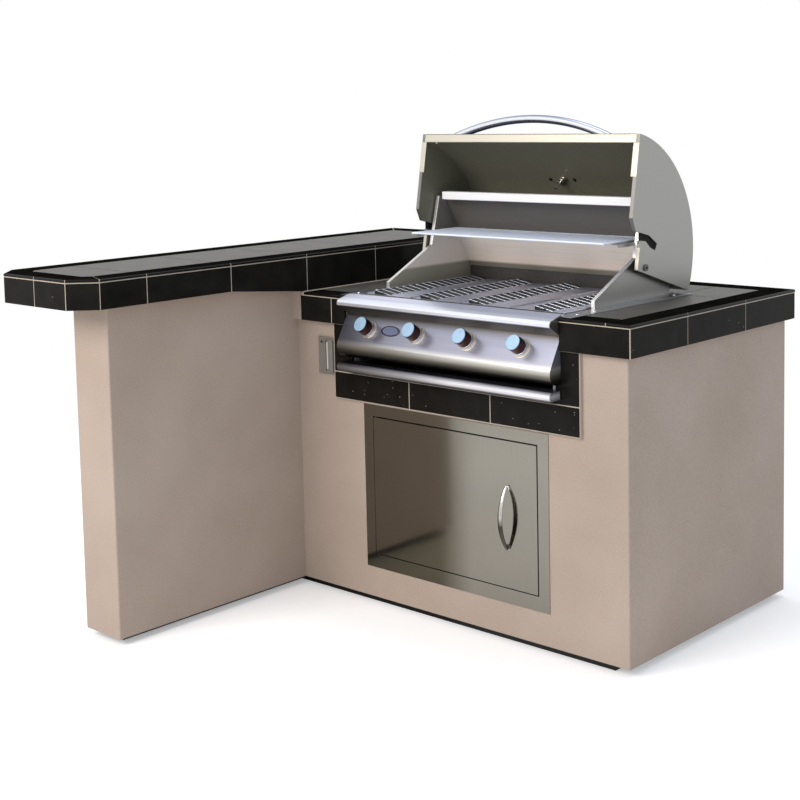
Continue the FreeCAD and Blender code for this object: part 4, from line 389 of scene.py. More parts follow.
FINISH = {
    "stucco": STUCCO, "tile": TILE, "grout": GROUT, "deck_board": PLYWOOD, "backer_board": BOARD,
    "stud_steel": GALVANISED, "brass": GALVANISED, "plinth_paint": PLINTH, "stainless": STEEL_X,
    "polished_steel": CHROME, "plastic_grey": PLASTIC, "socket": SOCKET, "magnet": DARK,
}
SPECIAL = {
    "surround_tiles": TILE_SURROUND, "bar_field_tiles": TILE_TOP, "counter_field_tiles": TILE_TOP,
    "bar_border_tiles": TILE_EDGE, "counter_border_tiles": TILE_EDGE, "hood_inner_skin": STEEL_HOT,
    "hood_side_panels": STEEL_SIDE, "hood_edge_strips": STEEL_RIM, "hood_pivots": STEEL_HOT,
    "hood_handle": HANDLE, "front_lip": STEEL_LIP, "back_panel": STEEL_BACK,
    "control_panel": STEEL_PANEL, "drip_tray_front": STEEL_RAIL, "grill_side_walls": STEEL_WALL,
    "firebox": STEEL_BOX, "box_ledges": STEEL_BOX, "burners": STEEL_DARK, "heat_plates": STEEL_DARK,
    "grate_1": STEEL_Y, "grate_2": STEEL_Y, "grate_3": STEEL_Y, "grate_4": STEEL_Y,
    "door_panel": STEEL_DOOR, "door_frame": STEEL_DOOR, "warming_rack": RACK_WIRE,
}
for name, node in NODES.items():
    node.data.materials.clear()
    node.data.materials.append(SPECIAL.get(name) or FINISH[SLOT_OF[name]])


# Piece making

WELD = 0.005
NODE_WELD = 0.01
LATHE_WELD = 0.002
FLAT_ANGLE = math.radians(0.4)
SHARP_ANGLE = math.radians(30.0)


def keep(name, bm, body, material, replaced=(), crease=35.0, flip=True):
    """Makes a finished piece of a bmesh: normals out, smooth but for its creases, riding on its body."""
    bmesh.ops.remove_doubles(bm, verts=bm.verts, dist=WELD * MM)
    if flip:
        bmesh.ops.recalc_face_normals(bm, faces=bm.faces)
    for face in bm.faces:
        face.smooth = True
    for edge in bm.edges:
        edge.smooth = not (len(edge.link_faces) == 2 and edge.calc_face_angle(0.0) > math.radians(crease))
    mesh = bpy.data.meshes.new(name)
    bm.to_mesh(mesh)
    bm.free()
    piece = bpy.data.objects.new(name, mesh)
    bpy.context.scene.collection.objects.link(piece)
    mesh.materials.append(material)
    even = piece.modifiers.new("even_normals", "WEIGHTED_NORMAL")
    even.keep_sharp = True
    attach(piece, body)
    if replaced:
        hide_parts(*replaced)


def islands(bm):
    """The separate shells of a mesh, each as its list of faces, in the same order at each run."""
    left = set(bm.faces)
    groups = []
    for first in bm.faces:
        if first not in left:
            continue
        left.remove(first)
        stack = [first]
        group = [first]
        while stack:
            for edge in stack.pop().edges:
                for face in edge.link_faces:
                    if face in left:
                        left.remove(face)
                        stack.append(face)
                        group.append(face)
        groups.append(group)
    return groups


def bevel(bm, edges, width):
    """Rounds edges of a mesh over this width."""
    bmesh.ops.bevel(bm, geom=edges, offset=width * MM, offset_type="OFFSET", affect="EDGES", segments=2,
                    profile=0.5, clamp_overlap=True, material=-1)


def soften(node, width):
    """Takes the hard corners off a node's shape, as a folded, moulded or troweled edge has."""
    bm = bmesh.new()
    bm.from_mesh(NODES[node].data)
    bmesh.ops.remove_doubles(bm, verts=bm.verts, dist=NODE_WELD * MM)
    bmesh.ops.dissolve_limit(bm, angle_limit=FLAT_ANGLE, verts=bm.verts, edges=bm.edges)
    for group in islands(bm):
        edges = dict.fromkeys(edge for face in group if face.is_valid for edge in face.edges)
        bevel(bm, [edge for edge in edges
                   if len(edge.link_faces) == 2 and edge.calc_face_angle(0.0) > SHARP_ANGLE], width)
    keep(node + "_dressed", bm, BODY_OF[node], NODES[node].data.materials[0], [node],
         crease=40.0, flip=False)


EDGES = {
    "stucco_coat": 1.5, "counter_skirt_tiles": 0.9, "bar_skirt_tiles": 0.9, "surround_tiles": 0.9,
    "counter_field_tiles": 0.9, "bar_field_tiles": 0.9, "plinth": 1.5, "front_lip": 0.8,
    "control_panel": 0.7, "grill_side_walls": 0.5, "back_panel": 0.7, "grill_flange": 0.5,
    "drip_tray_front": 1.2, "drip_tray": 0.4, "door_frame": 0.9, "door_panel": 0.8,
    "hood_side_panels": 0.5, "hood_outer_skin": 0.4, "hood_inner_skin": 0.4, "hood_edge_strips": 0.3,
    "outlet_cover": 0.8, "outlet_lid": 0.8, "hood_pivots": 0.6, "box_ledges": 0.4, "heat_plates": 0.3,
    "grate_1": 0.8, "grate_2": 0.8, "grate_3": 0.8, "grate_4": 0.8,
}
for node, width in EDGES.items():
    soften(node, width)


def second_coat(node, material, chosen):
    """Gives some faces of a dressed piece a second material; chosen is asked of each face."""
    mesh = bpy.data.objects[node + "_dressed"].data
    mesh.materials.append(material)
    for face in mesh.polygons:
        x, y, z = face.center / MM
        if chosen(x, y, z, face.normal):
            face.material_index = len(mesh.materials) - 1


# The grates: four side by side, each with one raised row of rungs between a front and a back line.
GRATE_LEFTS = (-375.0, -187.5, 0.0, 187.5)
GRATE_PITCH = 187.5
GRATE_FRONT = 46.0
GRATE_BACK = 528.0
ROW_MIDDLES = (-310.0, -122.5, 65.0, 302.5)
ROW_HALF = 30.0
BOX_TOP = 1000
HOOD_SIDE_IN = 402.5
HOOD_FRONT_LOW = 1085
WALL_IN = 383.6
FACES_ASIDE = 0.7

second_coat("box_ledges", STEEL_SIDE, lambda x, y, z, n: z > BOX_TOP)
second_coat("hood_side_panels", STEEL_HOT,
            lambda x, y, z, n: abs(x) < HOOD_SIDE_IN and abs(n.x) > FACES_ASIDE)
# Painted highlight: the front-facing faces below the pivot are given the pale rim steel.
second_coat("hood_side_panels", STEEL_RIM, lambda x, y, z, n: z < HOOD_FRONT_LOW and n.y < -0.5)
# Painted light and shade: the inner faces of the side walls take the banded inner steel.
second_coat("grill_side_walls", STEEL_INNER,
            lambda x, y, z, n: abs(x) < WALL_IN and abs(n.x) > FACES_ASIDE)
# Painted shade: the faces in each row of slots that do not face up take the dark steel.
for k, row in enumerate(ROW_MIDDLES, 1):
    second_coat("grate_%d" % k, STEEL_DARK,
                lambda x, y, z, n: (abs(n.z) < 0.9 and abs(x - row) < ROW_HALF - 1.0
                                    and GRATE_FRONT + 2.0 < y < GRATE_BACK - 2.0))


# Pieces turned on a lathe, and bars

FORWARD = Vector((0.0, -1.0, 0.0))
BACKWARD = Vector((0.0, 1.0, 0.0))
UPWARD = Vector((0.0, 0.0, 1.0))
SCREW_STEPS = 24


def stand(place, out, up):
    """Where a piece stands: its place, with its own Z along out and its own Y along up."""
    side = up.cross(out)
    turn = Matrix((side, up, out)).transposed().to_4x4()
    return Matrix.Translation(Vector(place) * MM) @ turn


def turned(bm, outline, at, steps=72):
    """Adds a lathe turned shape to a mesh: its outline is pairs of radius and height.
    It moves every point that no earlier call has moved, so it comes before all other shapes."""
    verts = [bm.verts.new((radius * MM, 0, height * MM)) for radius, height in outline]
    edges = [bm.edges.new(pair) for pair in zip(verts, verts[1:])]
    bmesh.ops.spin(bm, geom=verts + edges, cent=(0, 0, 0), axis=(0, 0, 1), angle=2 * math.pi, steps=steps,
                   use_merge=True)
    bmesh.ops.remove_doubles(bm, verts=[v for v in bm.verts if not v.tag], dist=LATHE_WELD * MM)
    fresh = [v for v in bm.verts if not v.tag]
    bmesh.ops.transform(bm, matrix=at, verts=fresh)
    for v in fresh:
        v.tag = True


def lathe_piece(name, outline, at, body, material, replaced=(), steps=72):
    """A finished piece that is one lathe turned shape."""
    bm = bmesh.new()
    turned(bm, outline, at, steps)
    keep(name, bm, body, material, replaced)


def round_bar(bm, start, end, radius, sides=12):
    """Adds a round bar between two places."""
    start, end = Vector(start), Vector(end)
    way = (end - start).normalized()
    up = UPWARD if abs(way.z) < 0.9 else BACKWARD
    up = (up - way * up.dot(way)).normalized()
    bmesh.ops.create_cone(bm, cap_ends=True, segments=sides, radius1=radius * MM, radius2=radius * MM,
                          depth=(end - start).length * MM, matrix=stand((start + end) / 2, way, up))


def slab(bm, at, size):
    """Adds a box of this size, centred where it stands."""
    x, y, z = size
    bmesh.ops.create_cube(bm, size=1.0, matrix=at @ Matrix.Diagonal((x * MM, y * MM, z * MM, 1.0)))


def block(bm, low, high):
    """Adds a box between two corners."""
    low, high = Vector(low), Vector(high)
    slab(bm, Matrix.Translation((low + high) / 2 * MM), high - low)


FACE_TILT = math.radians(29.5)
FACE_OUT = Vector((0.0, -math.cos(FACE_TILT), math.sin(FACE_TILT)))
FACE_UP = Vector((0.0, math.sin(FACE_TILT), math.cos(FACE_TILT)))
PANEL_CREASE = Vector((0.0, -10.0, 894.0))


def on_panel(x, drop):
    """Where a piece stands on the sloped panel: this far across, this far below the panel's crease."""
    return stand(PANEL_CREASE - FACE_UP * drop + Vector((x, 0, 0)), FACE_OUT, FACE_UP)


KNOB_X = (-288.0, -96.0, 96.0, 288.0)
KNOB_DROP = 45.0
BEZEL_OUTLINE = [(9.2, 0.05), (28.0, 0.05), (28.0, 1.6), (27.2, 2.8), (25.8, 3.0), (25.8, 7.2),
                 (25.0, 8.6), (23.6, 9.0), (19.5, 9.0), (18.6, 7.6), (9.2, 7.6), (9.2, 0.05)]
KNOB_PARTS = (
    ("skirt", CHROME, [(4.06, 9.6), (22.9, 9.6), (24.3, 10.4), (24.5, 11.6), (24.5, 14.2), (23.9, 15.4),
                       (22.6, 15.8), (4.06, 15.8), (4.06, 9.6)]),
    ("barrel", KNOB_BARREL, [(0, 15.8), (22.2, 15.8), (22.2, 17.0), (22.9, 18.0), (23.0, 44.0),
                             (22.6, 45.2), (0, 45.2)]),
    ("face", KNOB_FACE, [(0, 45.2), (22.6, 45.2), (22.5, 46.6), (21.6, 47.5), (20.0, 47.6), (0, 47.6)]),
)
POINTER = ((-0.9, 9.0, 47.5), (0.9, 18.5, 48.3))


def knobs():
    """Stepped bezels on the panel, and a barrel with a flat satin face on each valve spindle."""
    rings = bmesh.new()
    for x in KNOB_X:
        turned(rings, BEZEL_OUTLINE, on_panel(x, KNOB_DROP))
    keep("knob_bezel_rings", rings, "island", BEZEL, ["knob_bezels"])
    for index, x in enumerate(KNOB_X, 1):
        knob = "knob_%d" % index
        at = on_panel(x, KNOB_DROP)
        for part, material, outline in KNOB_PARTS:
            lathe_piece("%s_%s" % (knob, part), outline, at, knob + "_body", material,
                        [knob] if part == "skirt" else ())
        line = bmesh.new()
        block(line, *POINTER)
        bmesh.ops.transform(line, matrix=at, verts=line.verts)
        keep(knob + "_pointer", line, knob + "_body", CHROME)


BADGE_X = -204.0
BADGE_DROP = 42.0
BADGE_SQUEEZE = 0.44
BADGE_RIM = [(0, 0.05), (37.0, 0.05), (36.6, 1.6), (35.0, 2.1), (31.5, 2.1), (31.0, 1.5), (0, 1.5)]
BADGE_FIELD = [(0, 1.5), (30.6, 1.5), (30.2, 1.9), (0, 1.95)]


def badge():
    """The bare oval plaque between the first two knobs: a dark rim round a plain field."""
    at = on_panel(BADGE_X, BADGE_DROP) @ Matrix.Diagonal((1.0, BADGE_SQUEEZE, 1.0, 1.0))
    lathe_piece("badge_rim", BADGE_RIM, at, "island", BADGE_EDGE)
    lathe_piece("badge_field", BADGE_FIELD, at, "island", BADGE)


GRATE_TOP = 950.0
GRATE_GAP = 3.0
ROW_RISE = 11.0
RUNG_PITCH = 30.0
RUNG_R = 1.3
RUNG_COUNT = 16
RUNG_INSET = 4.0
SIDE_BEAD_R = 2.6
FOOT_BEAD_R = 1.2
CREST_BEAD_R = 1.0
BEAD_SINK = 0.4
BEAD_INSET = 1.0
TROUGH_INSET = 1.5
TROUGH_LOW = 0.3
TROUGH_BACK_HALF = 0.6
TROUGH_UNDER = 0.5
TROUGH_DROP = 2.6
TROUGH_THICK = 1.0
TROUGH_SHORTER = 4.0
END_INSET = 2.0
END_THICK = 1.0
END_SHORTER = 24.0
END_RISE = 0.55


def grates():
    """Each grate has a row of rungs that rise to the left between rolled beads, over a dark sheet that is
    painted shade under the rungs.
    """
    top, crest = GRATE_TOP, GRATE_TOP + ROW_RISE
    for k, (left, middle) in enumerate(zip(GRATE_LEFTS, ROW_MIDDLES), 1):
        name, body = "grate_%d" % k, "grate_%d_body" % k
        low, high = middle + ROW_HALF, middle - ROW_HALF
        side_in, sunk = GRATE_GAP / 2 + SIDE_BEAD_R, top - BEAD_SINK
        beads = bmesh.new()
        for x, z, radius in ((left + side_in, sunk, SIDE_BEAD_R), (low, sunk, FOOT_BEAD_R),
                             (high, crest, CREST_BEAD_R), (left + GRATE_PITCH - side_in, sunk, SIDE_BEAD_R)):
            round_bar(beads, (x, GRATE_FRONT + BEAD_INSET, z), (x, GRATE_BACK - BEAD_INSET, z), radius)
        for i in range(RUNG_COUNT):
            y = GRATE_FRONT + RUNG_INSET + RUNG_PITCH * i
            round_bar(beads, (low, y, top), (high, y, crest), RUNG_R)
        keep(name + "_beads", beads, body, STEEL_BEAD)
        # Painted shade: a dark sheet and end blocks under the rungs, so that the row's openings read as
        # shadow.
        shade_sheet = bmesh.new()
        block(shade_sheet, (high - TROUGH_BACK_HALF, GRATE_FRONT + TROUGH_INSET, top - TROUGH_LOW),
              (high + TROUGH_BACK_HALF, GRATE_BACK - TROUGH_INSET, crest - TROUGH_UNDER))
        out = Vector((ROW_RISE, 0, low - high))
        centre = (middle, (GRATE_FRONT + GRATE_BACK) / 2, top + ROW_RISE / 2 - TROUGH_DROP)
        slab(shade_sheet, stand(centre, out.normalized(), BACKWARD),
             (out.length, GRATE_BACK - GRATE_FRONT - TROUGH_SHORTER, TROUGH_THICK))
        for end in (GRATE_FRONT + END_INSET, GRATE_BACK - END_INSET - END_THICK):
            block(shade_sheet, (high, end, top - TROUGH_LOW),
                  (low - END_SHORTER, end + END_THICK, top + ROW_RISE * END_RISE))
        keep(name + "_trough", shade_sheet, body, STEEL_DARK)


HOOD_MID = Vector((0.0, 292.0, 1085.8))
HOOD_R = 346.0
HOOD_INSIDE = 320.0
DIAL_ANGLE = math.radians(37.3)
DIAL_OUT = Vector((0.0, math.cos(DIAL_ANGLE), math.sin(DIAL_ANGLE)))
DIAL_UP = Vector((0.0, -math.sin(DIAL_ANGLE), math.cos(DIAL_ANGLE)))
NUT_OUTLINE = [(3.1, -12.0), (7.5, -12.0), (8.5, -9.0), (8.5, -1.0), (7.5, -0.2), (3.1, -0.2),
               (3.1, -12.0)]
NUT_MIDDLE = 9.0
WING_WAY = (0.8, 0.6)
WING_OUT = 13.0
WING_R = 9.0
WING_SHAPE = (0.34, 0.8, 1.1, 1.0)
WING_SIDES = 20
WING_RINGS = 10
RIVET_X = 46.0
RIVET_OUTLINE = [(0, -4.6), (3.4, -4.2), (5.4, -2.6), (6.0, -0.3), (0, -0.3)]
DIAL_CASE = [(0, 0.4), (29.0, 0.4), (30.0, 1.6), (30.0, 10.4), (29.2, 12.0), (27.2, 12.3), (26.0, 11.2),
             (25.6, 9.4), (0, 9.4)]
DIAL_PLATE = [(0, 9.5), (25.4, 9.5), (25.2, 9.9), (0, 9.9)]
DIAL_HUB = [(0, 10.0), (2.6, 10.0), (2.4, 11.4), (0, 11.6)]
MARK_COUNT = 13
MARK_START = -135
MARK_TURN = 22.5
MARK_R = 21.5
MARK_Z = 10.1
MARK_WIDE = 0.8
MARK_LONG = 5.0
MARK_SHORT = 3.0
MARK_THICK = 0.3
NEEDLE_TURN = 128
NEEDLE_MIDDLE = 7.0
NEEDLE_Z = 10.6
NEEDLE_SIZE = (1.4, 18.0, 0.5)


def on_hood(x, radius):
    """Where a piece stands on the hood's round skin, on the thermometer's line."""
    return stand(HOOD_MID + DIAL_OUT * radius + Vector((x, 0, 0)), DIAL_OUT, DIAL_UP)


def on_dial(degrees, middle, height):
    """Where a mark stands on the dial: its turn, and its middle's distance from the hub."""
    turn = Matrix.Rotation(math.radians(degrees), 4, "Z")
    return on_hood(0, HOOD_R) @ turn @ Matrix.Translation((0, middle * MM, height * MM))


def hood_fittings():
    """Inside the hood: the wing nut on the thermometer's stem and two rivets. Outside: its dial."""
    nut = bmesh.new()
    turned(nut, NUT_OUTLINE, on_hood(0, HOOD_INSIDE), SCREW_STEPS)
    for way in (-1, 1):
        aside = (Vector((WING_WAY[0], 0, 0)) + DIAL_UP * WING_WAY[1]) * way
        place = HOOD_MID + DIAL_OUT * (HOOD_INSIDE - NUT_MIDDLE) + aside * WING_OUT
        wing = stand(place, aside, DIAL_OUT.cross(aside))
        bmesh.ops.create_uvsphere(nut, u_segments=WING_SIDES, v_segments=WING_RINGS, radius=WING_R * MM,
                                  matrix=wing @ Matrix.Diagonal(WING_SHAPE))
    keep("thermometer_wing_nut", nut, "hood", BEZEL)
    rivets = bmesh.new()
    for x in (-RIVET_X, RIVET_X):
        turned(rivets, RIVET_OUTLINE, on_hood(x, HOOD_INSIDE), SCREW_STEPS)
    keep("hood_rivets", rivets, "hood", DARK)
    at = on_hood(0, HOOD_R)
    lathe_piece("thermometer_case", DIAL_CASE, at, "hood", CHROME)
    lathe_piece("thermometer_face", DIAL_PLATE, at, "hood", DIAL_FACE)
    marks = bmesh.new()
    turned(marks, DIAL_HUB, at, SCREW_STEPS)
    for step in range(MARK_COUNT):
        spot = on_dial(-MARK_START - MARK_TURN * step, MARK_R, MARK_Z)
        slab(marks, spot, (MARK_WIDE, MARK_LONG if step % 3 == 0 else MARK_SHORT, MARK_THICK))
    slab(marks, on_dial(NEEDLE_TURN, NEEDLE_MIDDLE, NEEDLE_Z), NEEDLE_SIZE)
    keep("thermometer_marks", marks, "hood", DARK)


SEAM_HALF = 399.0
SEAM_Y = 360.4
SEAM_Z = 1424.2
SEAM_R = 1.3
FLANGE_TOP = Vector((0.0, 355.4, 1400.0))
FLANGE_LOW = Vector((0.0, 339.0, 1305.0))
FLANGE_X = 402.8
FLANGE_WIDE = 19.4
FLANGE_THICK = 1.4
FLANGE_AHEAD = 0.3
FLANGE_EDGE = 0.4
SLOT_X = 406.5
SLOT_HALF = 0.5
SLOT_LOW = (356.0, 1085.0)
SLOT_HIGH = (446.0, 1152.0)
BOLT_PLACE = (416.4, 383.0, 1043.0)
BOLT_OUTLINE = [(0, 0.05), (4.6, 0.05), (4.6, 1.2), (3.4, 2.4), (0, 2.6)]
BOLT_SIDES = 6
STOP_PLACE = (-356.0, 362.0, 1397.0)
STOP_OUT = Vector((0, -0.3, -0.95))
STOP_UP = Vector((0, -0.95, 0.3))
STOP_OUTLINE = [(0, -0.4), (5.0, -0.2), (4.2, 1.8), (2.4, 2.8), (0, 3.0)]


def hood_trim():
    """The dark seam along the hood's rim, the pale flanges down its front edges, the dark strips of painted
    shade behind its slots, the bolts at its pivots and its stop screw."""
    seam = bmesh.new()
    round_bar(seam, (-SEAM_HALF, SEAM_Y, SEAM_Z), (SEAM_HALF, SEAM_Y, SEAM_Z), SEAM_R, sides=10)
    keep("hood_rim_seam", seam, "hood", STEEL_HOT)
    flanges = bmesh.new()
    long = (FLANGE_TOP - FLANGE_LOW).length
    along = (FLANGE_TOP - FLANGE_LOW).normalized()
    ahead = Vector((0.0, -along.z, along.y))
    for x in (-FLANGE_X, FLANGE_X):
        place = (FLANGE_TOP + FLANGE_LOW) / 2 + Vector((x, 0, 0)) + ahead * FLANGE_AHEAD
        slab(flanges, stand(place, ahead, along), (FLANGE_WIDE, long, FLANGE_THICK))
    bevel(flanges, flanges.edges[:], FLANGE_EDGE)
    keep("hood_front_flanges", flanges, "hood", STEEL_RIM)
    # Painted shade: dark strips behind the slots stand in for the shadow inside them.
    backs = bmesh.new()
    for x in (-SLOT_X, SLOT_X):
        block(backs, (x - SLOT_HALF, *SLOT_LOW), (x + SLOT_HALF, *SLOT_HIGH))
    keep("hood_slot_shade_strips", backs, "hood", SHADED)
    bolts = bmesh.new()
    for way in (-1, 1):
        x, y, z = BOLT_PLACE
        turned(bolts, BOLT_OUTLINE, stand((way * x, y, z), Vector((way, 0, 0)), UPWARD), BOLT_SIDES)
    keep("hood_pivot_bolts", bolts, "hood", DARK)
    at = stand(STOP_PLACE, STOP_OUT.normalized(), STOP_UP.normalized())
    lathe_piece("hood_stop_screw", STOP_OUTLINE, at, "hood", CHROME, steps=SCREW_STEPS)


PULL_X = 207.0
PULL_FACE = -4.0
PULL_MIDDLE = 364.5
PULL_HALF = 89.5
PULL_RISE = 30.0
PULL_R = 5.0
PULL_SECTION = (1.55, 0.8, 1.0, 1.0)
PULL_TAPER = 0.45
PULL_SIDES = 24
PULL_STEPS = 36
FOOT_IN = 6.0
FOOT_STEPS = 32
FOOT_OUTLINE = [(0, 0.0), (7.2, 0.0), (7.2, 1.6), (5.6, 3.0), (5.2, 9.0), (0, 9.0)]


def door_pull():
    """The pull: a flat oval bar bowed off the door, widest in its middle, on two round feet."""
    bow = (PULL_HALF * PULL_HALF + PULL_RISE * PULL_RISE) / (2 * PULL_RISE)
    turn = math.asin(PULL_HALF / bow)
    centre = Vector((PULL_X, PULL_FACE - PULL_RISE - PULL_R + bow, PULL_MIDDLE)) * MM
    bar = bmesh.new()
    for z in (PULL_MIDDLE - PULL_HALF + FOOT_IN, PULL_MIDDLE + PULL_HALF - FOOT_IN):
        turned(bar, FOOT_OUTLINE, stand((PULL_X, PULL_FACE, z), FORWARD, UPWARD), FOOT_STEPS)
    start = (Matrix.Translation(centre) @ Matrix.Rotation(-turn, 4, "X")
             @ Matrix.Translation((0, -bow * MM, 0)) @ Matrix.Diagonal(PULL_SECTION))
    ring = bmesh.ops.create_circle(bar, cap_ends=True, segments=PULL_SIDES, radius=PULL_R * MM,
                                   matrix=start)["verts"]
    edges = dict.fromkeys(edge for v in ring for edge in v.link_edges)
    faces = dict.fromkeys(face for v in ring for face in v.link_faces)
    bmesh.ops.spin(bar, geom=[*ring, *edges, *faces], cent=centre, axis=(1, 0, 0), angle=2 * turn,
                   steps=PULL_STEPS, use_merge=False)
    for v in bar.verts:
        if not v.tag:
            near_end = abs(v.co.z / MM - PULL_MIDDLE) / PULL_HALF
            v.co.x = (PULL_X + (v.co.x / MM - PULL_X) * (1.0 - PULL_TAPER * near_end * near_end)) * MM
    keep("door_pull_bow", bar, "door", STEEL_PULL, ["door_handle"])


STUCCO_RETURN = ((-632.0, -20.9, 858.0), (-598.0, -15.0, 947.0))
STUCCO_EDGE = 0.5
SPLASH_BEAD = ((-584.6, -19.0, 946.4), (-584.6, 850.0, 946.4))
SPLASH_BEAD_R = 2.2


def corner_joints():
    """Where the tops meet: stucco runs on to the first skirt tile, and grout seals the splash tiles."""
    edge = bmesh.new()
    block(edge, *STUCCO_RETURN)
    bevel(edge, edge.edges[:], STUCCO_EDGE)
    keep("corner_stucco_return", edge, "island", STUCCO)
    bead = bmesh.new()
    round_bar(bead, *SPLASH_BEAD, SPLASH_BEAD_R)
    keep("splash_grout_bead", bead, "island", GROUT)


SCREW_X = 413.0
SCREW_Y = (52.0, 131.0, 528.0)
SCREW_Z = 948.0
SCREW_OUTLINE = [(0, 0.02), (5.0, 0.02), (5.0, 0.7), (4.4, 1.7), (3.0, 2.3), (0, 2.4)]
HEAD_STEPS = 32
RECESS = ((0.9, 5.0), (5.0, 0.9))
RECESS_LOW = 950.2
RECESS_HIGH = 950.6


def screws():
    """Pan head screws along the grill flange, with a cross recess shown as two dark slots of painted shade.
    """
    heads = bmesh.new()
    slots = bmesh.new()
    for x in (-SCREW_X, SCREW_X):
        for y in SCREW_Y:
            turned(heads, SCREW_OUTLINE, stand((x, y, SCREW_Z), UPWARD, BACKWARD), HEAD_STEPS)
            for wide, long in RECESS:
                block(slots, (x - wide / 2, y - long / 2, RECESS_LOW),
                      (x + wide / 2, y + long / 2, RECESS_HIGH))
    keep("flange_screw_heads", heads, "island", CHROME, ["flange_screws"])
    keep("flange_screw_slots", slots, "island", DARK)


WIRE_START = -352.5
WIRE_PITCH = 15.0
WIRE_COUNT = 48
WIRE_ENDS = (252.0, 452.0)
WIRE_Z = 1119.0
WIRE_R = 3.0


def rack_wires():
    """The wires between the CAD's own, so that the rack is as close meshed as the real one."""
    wires = bmesh.new()
    for i in range(WIRE_COUNT):
        x = WIRE_START + WIRE_PITCH * i
        round_bar(wires, (x, WIRE_ENDS[0], WIRE_Z), (x, WIRE_ENDS[1], WIRE_Z), WIRE_R, sides=8)
    keep("rack_close_wires", wires, "rack", RACK_WIRE)


LID_RIDGE = ((-493.5, -11.6, 712.0), (-493.5, -11.6, 796.0))
LID_RIDGE_R = 2.6
LID_GAP = ((-499.6, -12.4, 708.0), (-497.6, -11.4, 800.0))
COVER_SCREW = (-518.0, -12.0, 795.0)
COVER_SCREW_OUTLINE = [(0, -0.4), (3.6, -0.4), (3.6, 0.3), (2.6, 0.9), (0, 1.0)]


def outlet_details():
    """The raised ridge and the gap beside it on the outlet's flap, the gap a dark strip of painted shade,
    and the screw of its cover.
    """
    ridge = bmesh.new()
    round_bar(ridge, *LID_RIDGE, LID_RIDGE_R, sides=16)
    keep("outlet_lid_ridge", ridge, "outlet_flap", SOCKET)
    # Painted shade: a dark strip stands for the gap beside the ridge.
    gap = bmesh.new()
    block(gap, *LID_GAP)
    keep("outlet_lid_gap", gap, "outlet_flap", DARK)
    lathe_piece("outlet_cover_screw", COVER_SCREW_OUTLINE, stand(COVER_SCREW, FORWARD, UPWARD), "island",
                DARK, steps=SCREW_STEPS)


knobs()
badge()
grates()
hood_fittings()
hood_trim()
door_pull()
corner_joints()
screws()
rack_wires()
outlet_details()


# Floor, light and camera, in metres

WHITE = [1.0, 1.0, 1.0, 1.0]
FLOOR_HALF = 30.0
FADE_START = 1.9
FADE_END = 3.6
FLOOR_GLOW = 0.3
CORNER_SLOPE = -0.85
CORNER_EDGE = (-0.06, 0.07)
CORNER_OPEN = 0.84
SKY_STRENGTH = 0.74


def seen_rays(tree):
    """The light path node, and one where the camera, a mirror or a glass pane looks straight at this."""
    path = add(tree, "ShaderNodeLightPath")
    seen = add(tree, "ShaderNodeMath", {0: path.outputs["Is Camera Ray"], 1: path.outputs["Is Glossy Ray"]},
               operation="MAXIMUM")
    seen = add(tree, "ShaderNodeMath", {0: seen.outputs["Value"], 1: path.outputs["Is Transmission Ray"]},
               operation="MAXIMUM")
    return path, seen.outputs["Value"]


def studio_floor():
    """A pale floor that fades to white. Mirrors see a darker floor in the corner beside the bar wall, and a
    slightly darker one elsewhere: painted shade, seen only in reflections.
    """
    floor = bmesh.new()
    bmesh.ops.create_grid(floor, x_segments=1, y_segments=1, size=FLOOR_HALF)
    mesh = bpy.data.meshes.new("studio_floor")
    floor.to_mesh(mesh)
    floor.free()
    ground = bpy.data.objects.new("studio_floor", mesh)
    bpy.context.scene.collection.objects.link(ground)
    material, tree, shader, place = begin("pale_floor", Base_Color=colour("#F4F4F4"), Roughness=0.9,
                                          Specular_IOR_Level=0.0)
    path, seen = seen_rays(tree)
    radius = add(tree, "ShaderNodeVectorMath", {0: place}, operation="LENGTH")
    far = add(tree, "ShaderNodeMapRange",
              {"Value": radius.outputs["Value"], "From Min": FADE_START, "From Max": FADE_END})
    white = add(tree, "ShaderNodeEmission", {"Color": WHITE, "Strength": 1.0})
    glow = add(tree, "ShaderNodeEmission", {"Color": WHITE, "Strength": FLOOR_GLOW})
    lit = add(tree, "ShaderNodeAddShader", {0: shader.outputs["BSDF"], 1: glow.outputs["Emission"]})
    parts = add(tree, "ShaderNodeSeparateXYZ", {"Vector": place})
    corner = add(tree, "ShaderNodeMath",
                 {0: parts.outputs["Y"], 1: CORNER_SLOPE, 2: parts.outputs["X"]},
                 operation="MULTIPLY_ADD")
    shade = add(tree, "ShaderNodeMapRange",
                {"Value": corner.outputs["Value"], "From Min": CORNER_EDGE[0],
                 "From Max": CORNER_EDGE[1], "To Max": CORNER_OPEN})
    bare = add(tree, "ShaderNodeMath",
               {0: path.outputs["Is Camera Ray"], 1: shade.outputs["Result"]}, operation="MAXIMUM")
    # Painted shade: this darker floor is seen only by mirrors, most of all in the corner by the bar wall.
    mirrored_shade = add(tree, "ShaderNodeBsdfDiffuse", {"Color": colour("#A5A194")})
    near = add(tree, "ShaderNodeMixShader",
               {0: bare.outputs["Value"], 1: mirrored_shade.outputs["BSDF"], 2: lit.outputs["Shader"]})
    fade = add(tree, "ShaderNodeMixShader",
               {0: far.outputs["Result"], 1: near.outputs["Shader"], 2: white.outputs["Emission"]})
    shown = add(tree, "ShaderNodeMixShader",
                {0: seen, 1: shader.outputs["BSDF"], 2: fade.outputs["Shader"]})
    tree.links.new(shown.outputs["Shader"], tree.nodes["Material Output"].inputs["Surface"])
    mesh.materials.append(material)


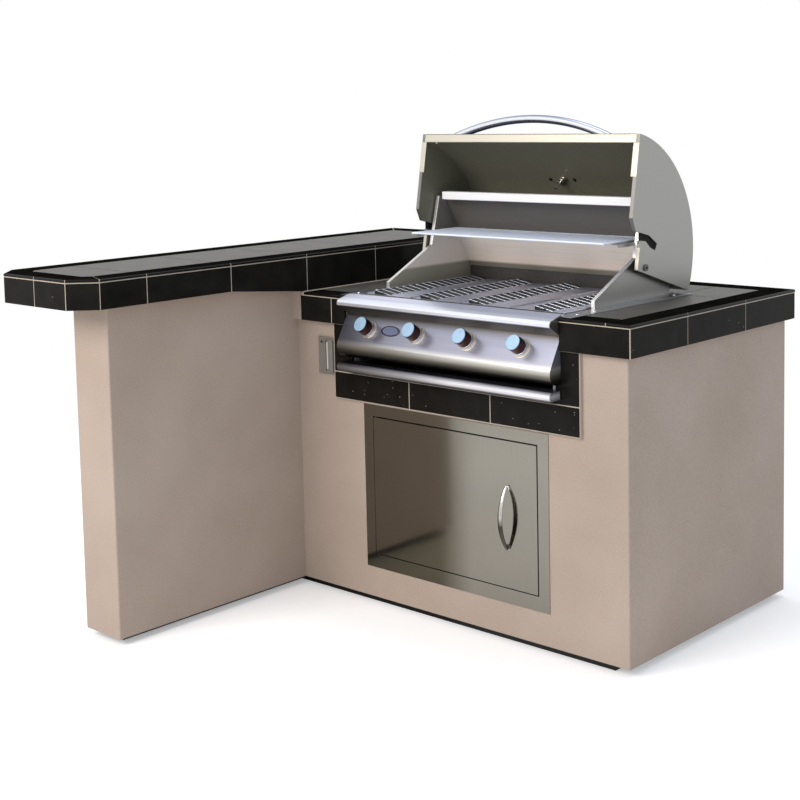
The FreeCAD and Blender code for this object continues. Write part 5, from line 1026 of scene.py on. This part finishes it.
def sky():
    """A soft cool sky that lights the island and is itself seen as plain white."""
    world = bpy.data.worlds.new("studio")
    bpy.context.scene.world = world
    world.use_nodes = True
    tree = world.node_tree
    tree.nodes.clear()
    seen = seen_rays(tree)[1]
    light = add(tree, "ShaderNodeBackground", {"Color": colour("#EDF4FF"), "Strength": SKY_STRENGTH})
    white = add(tree, "ShaderNodeBackground", {"Color": WHITE, "Strength": 1.0})
    both = add(tree, "ShaderNodeMixShader",
               {0: seen, 1: light.outputs["Background"], 2: white.outputs["Background"]})
    add(tree, "ShaderNodeOutputWorld", {"Surface": both.outputs["Shader"]})


def lamp(name, place, aim, width, height, power, code):
    """A soft box of this size and power, aimed at a place."""
    data = bpy.data.lights.new(name, "AREA")
    data.shape = "RECTANGLE"
    data.size = width
    data.size_y = height
    data.energy = power
    data.color = colour(code)[:3]
    light = bpy.data.objects.new(name, data)
    light.location = place
    light.rotation_mode = "QUATERNION"
    light.rotation_quaternion = (Vector(aim) - Vector(place)).to_track_quat("-Z", "Y")
    bpy.context.scene.collection.objects.link(light)


def camera():
    """Stands where the photograph's camera stood: 4.1 m from the grill, turned 42 degrees to its right."""
    data = bpy.data.cameras.new("camera")
    data.lens = 65.35
    data.sensor_width = 36.0
    data.shift_x = -0.0265
    data.shift_y = -0.1875
    view = bpy.data.objects.new("camera", data)
    eye = (2.7104, -3.09305, 1.5158)
    right = Vector((0.74093222, 0.67126966, -0.02040831))
    up = Vector((-0.05130721, 0.08687913, 0.99489677))
    forward = Vector((-0.66961707, 0.73610398, -0.09881252))
    turn = Matrix((right, up, -forward)).transposed().to_4x4()
    view.matrix_world = Matrix.Translation(eye) @ turn
    bpy.context.scene.collection.objects.link(view)
    bpy.context.scene.camera = view


studio_floor()
sky()
lamp("key_softbox", (-1.2, -4.6, 3.5), (0, 0.2, 0.6), 2.6, 2.4, 180, "#FFF5EC")
lamp("top_softbox", (-0.2, 1.2, 5.0), (-0.1, 0.2, 0.9), 3.0, 2.0, 60, "#FFFFFF")
camera()
bpy.context.scene.view_settings.view_transform = "Standard"
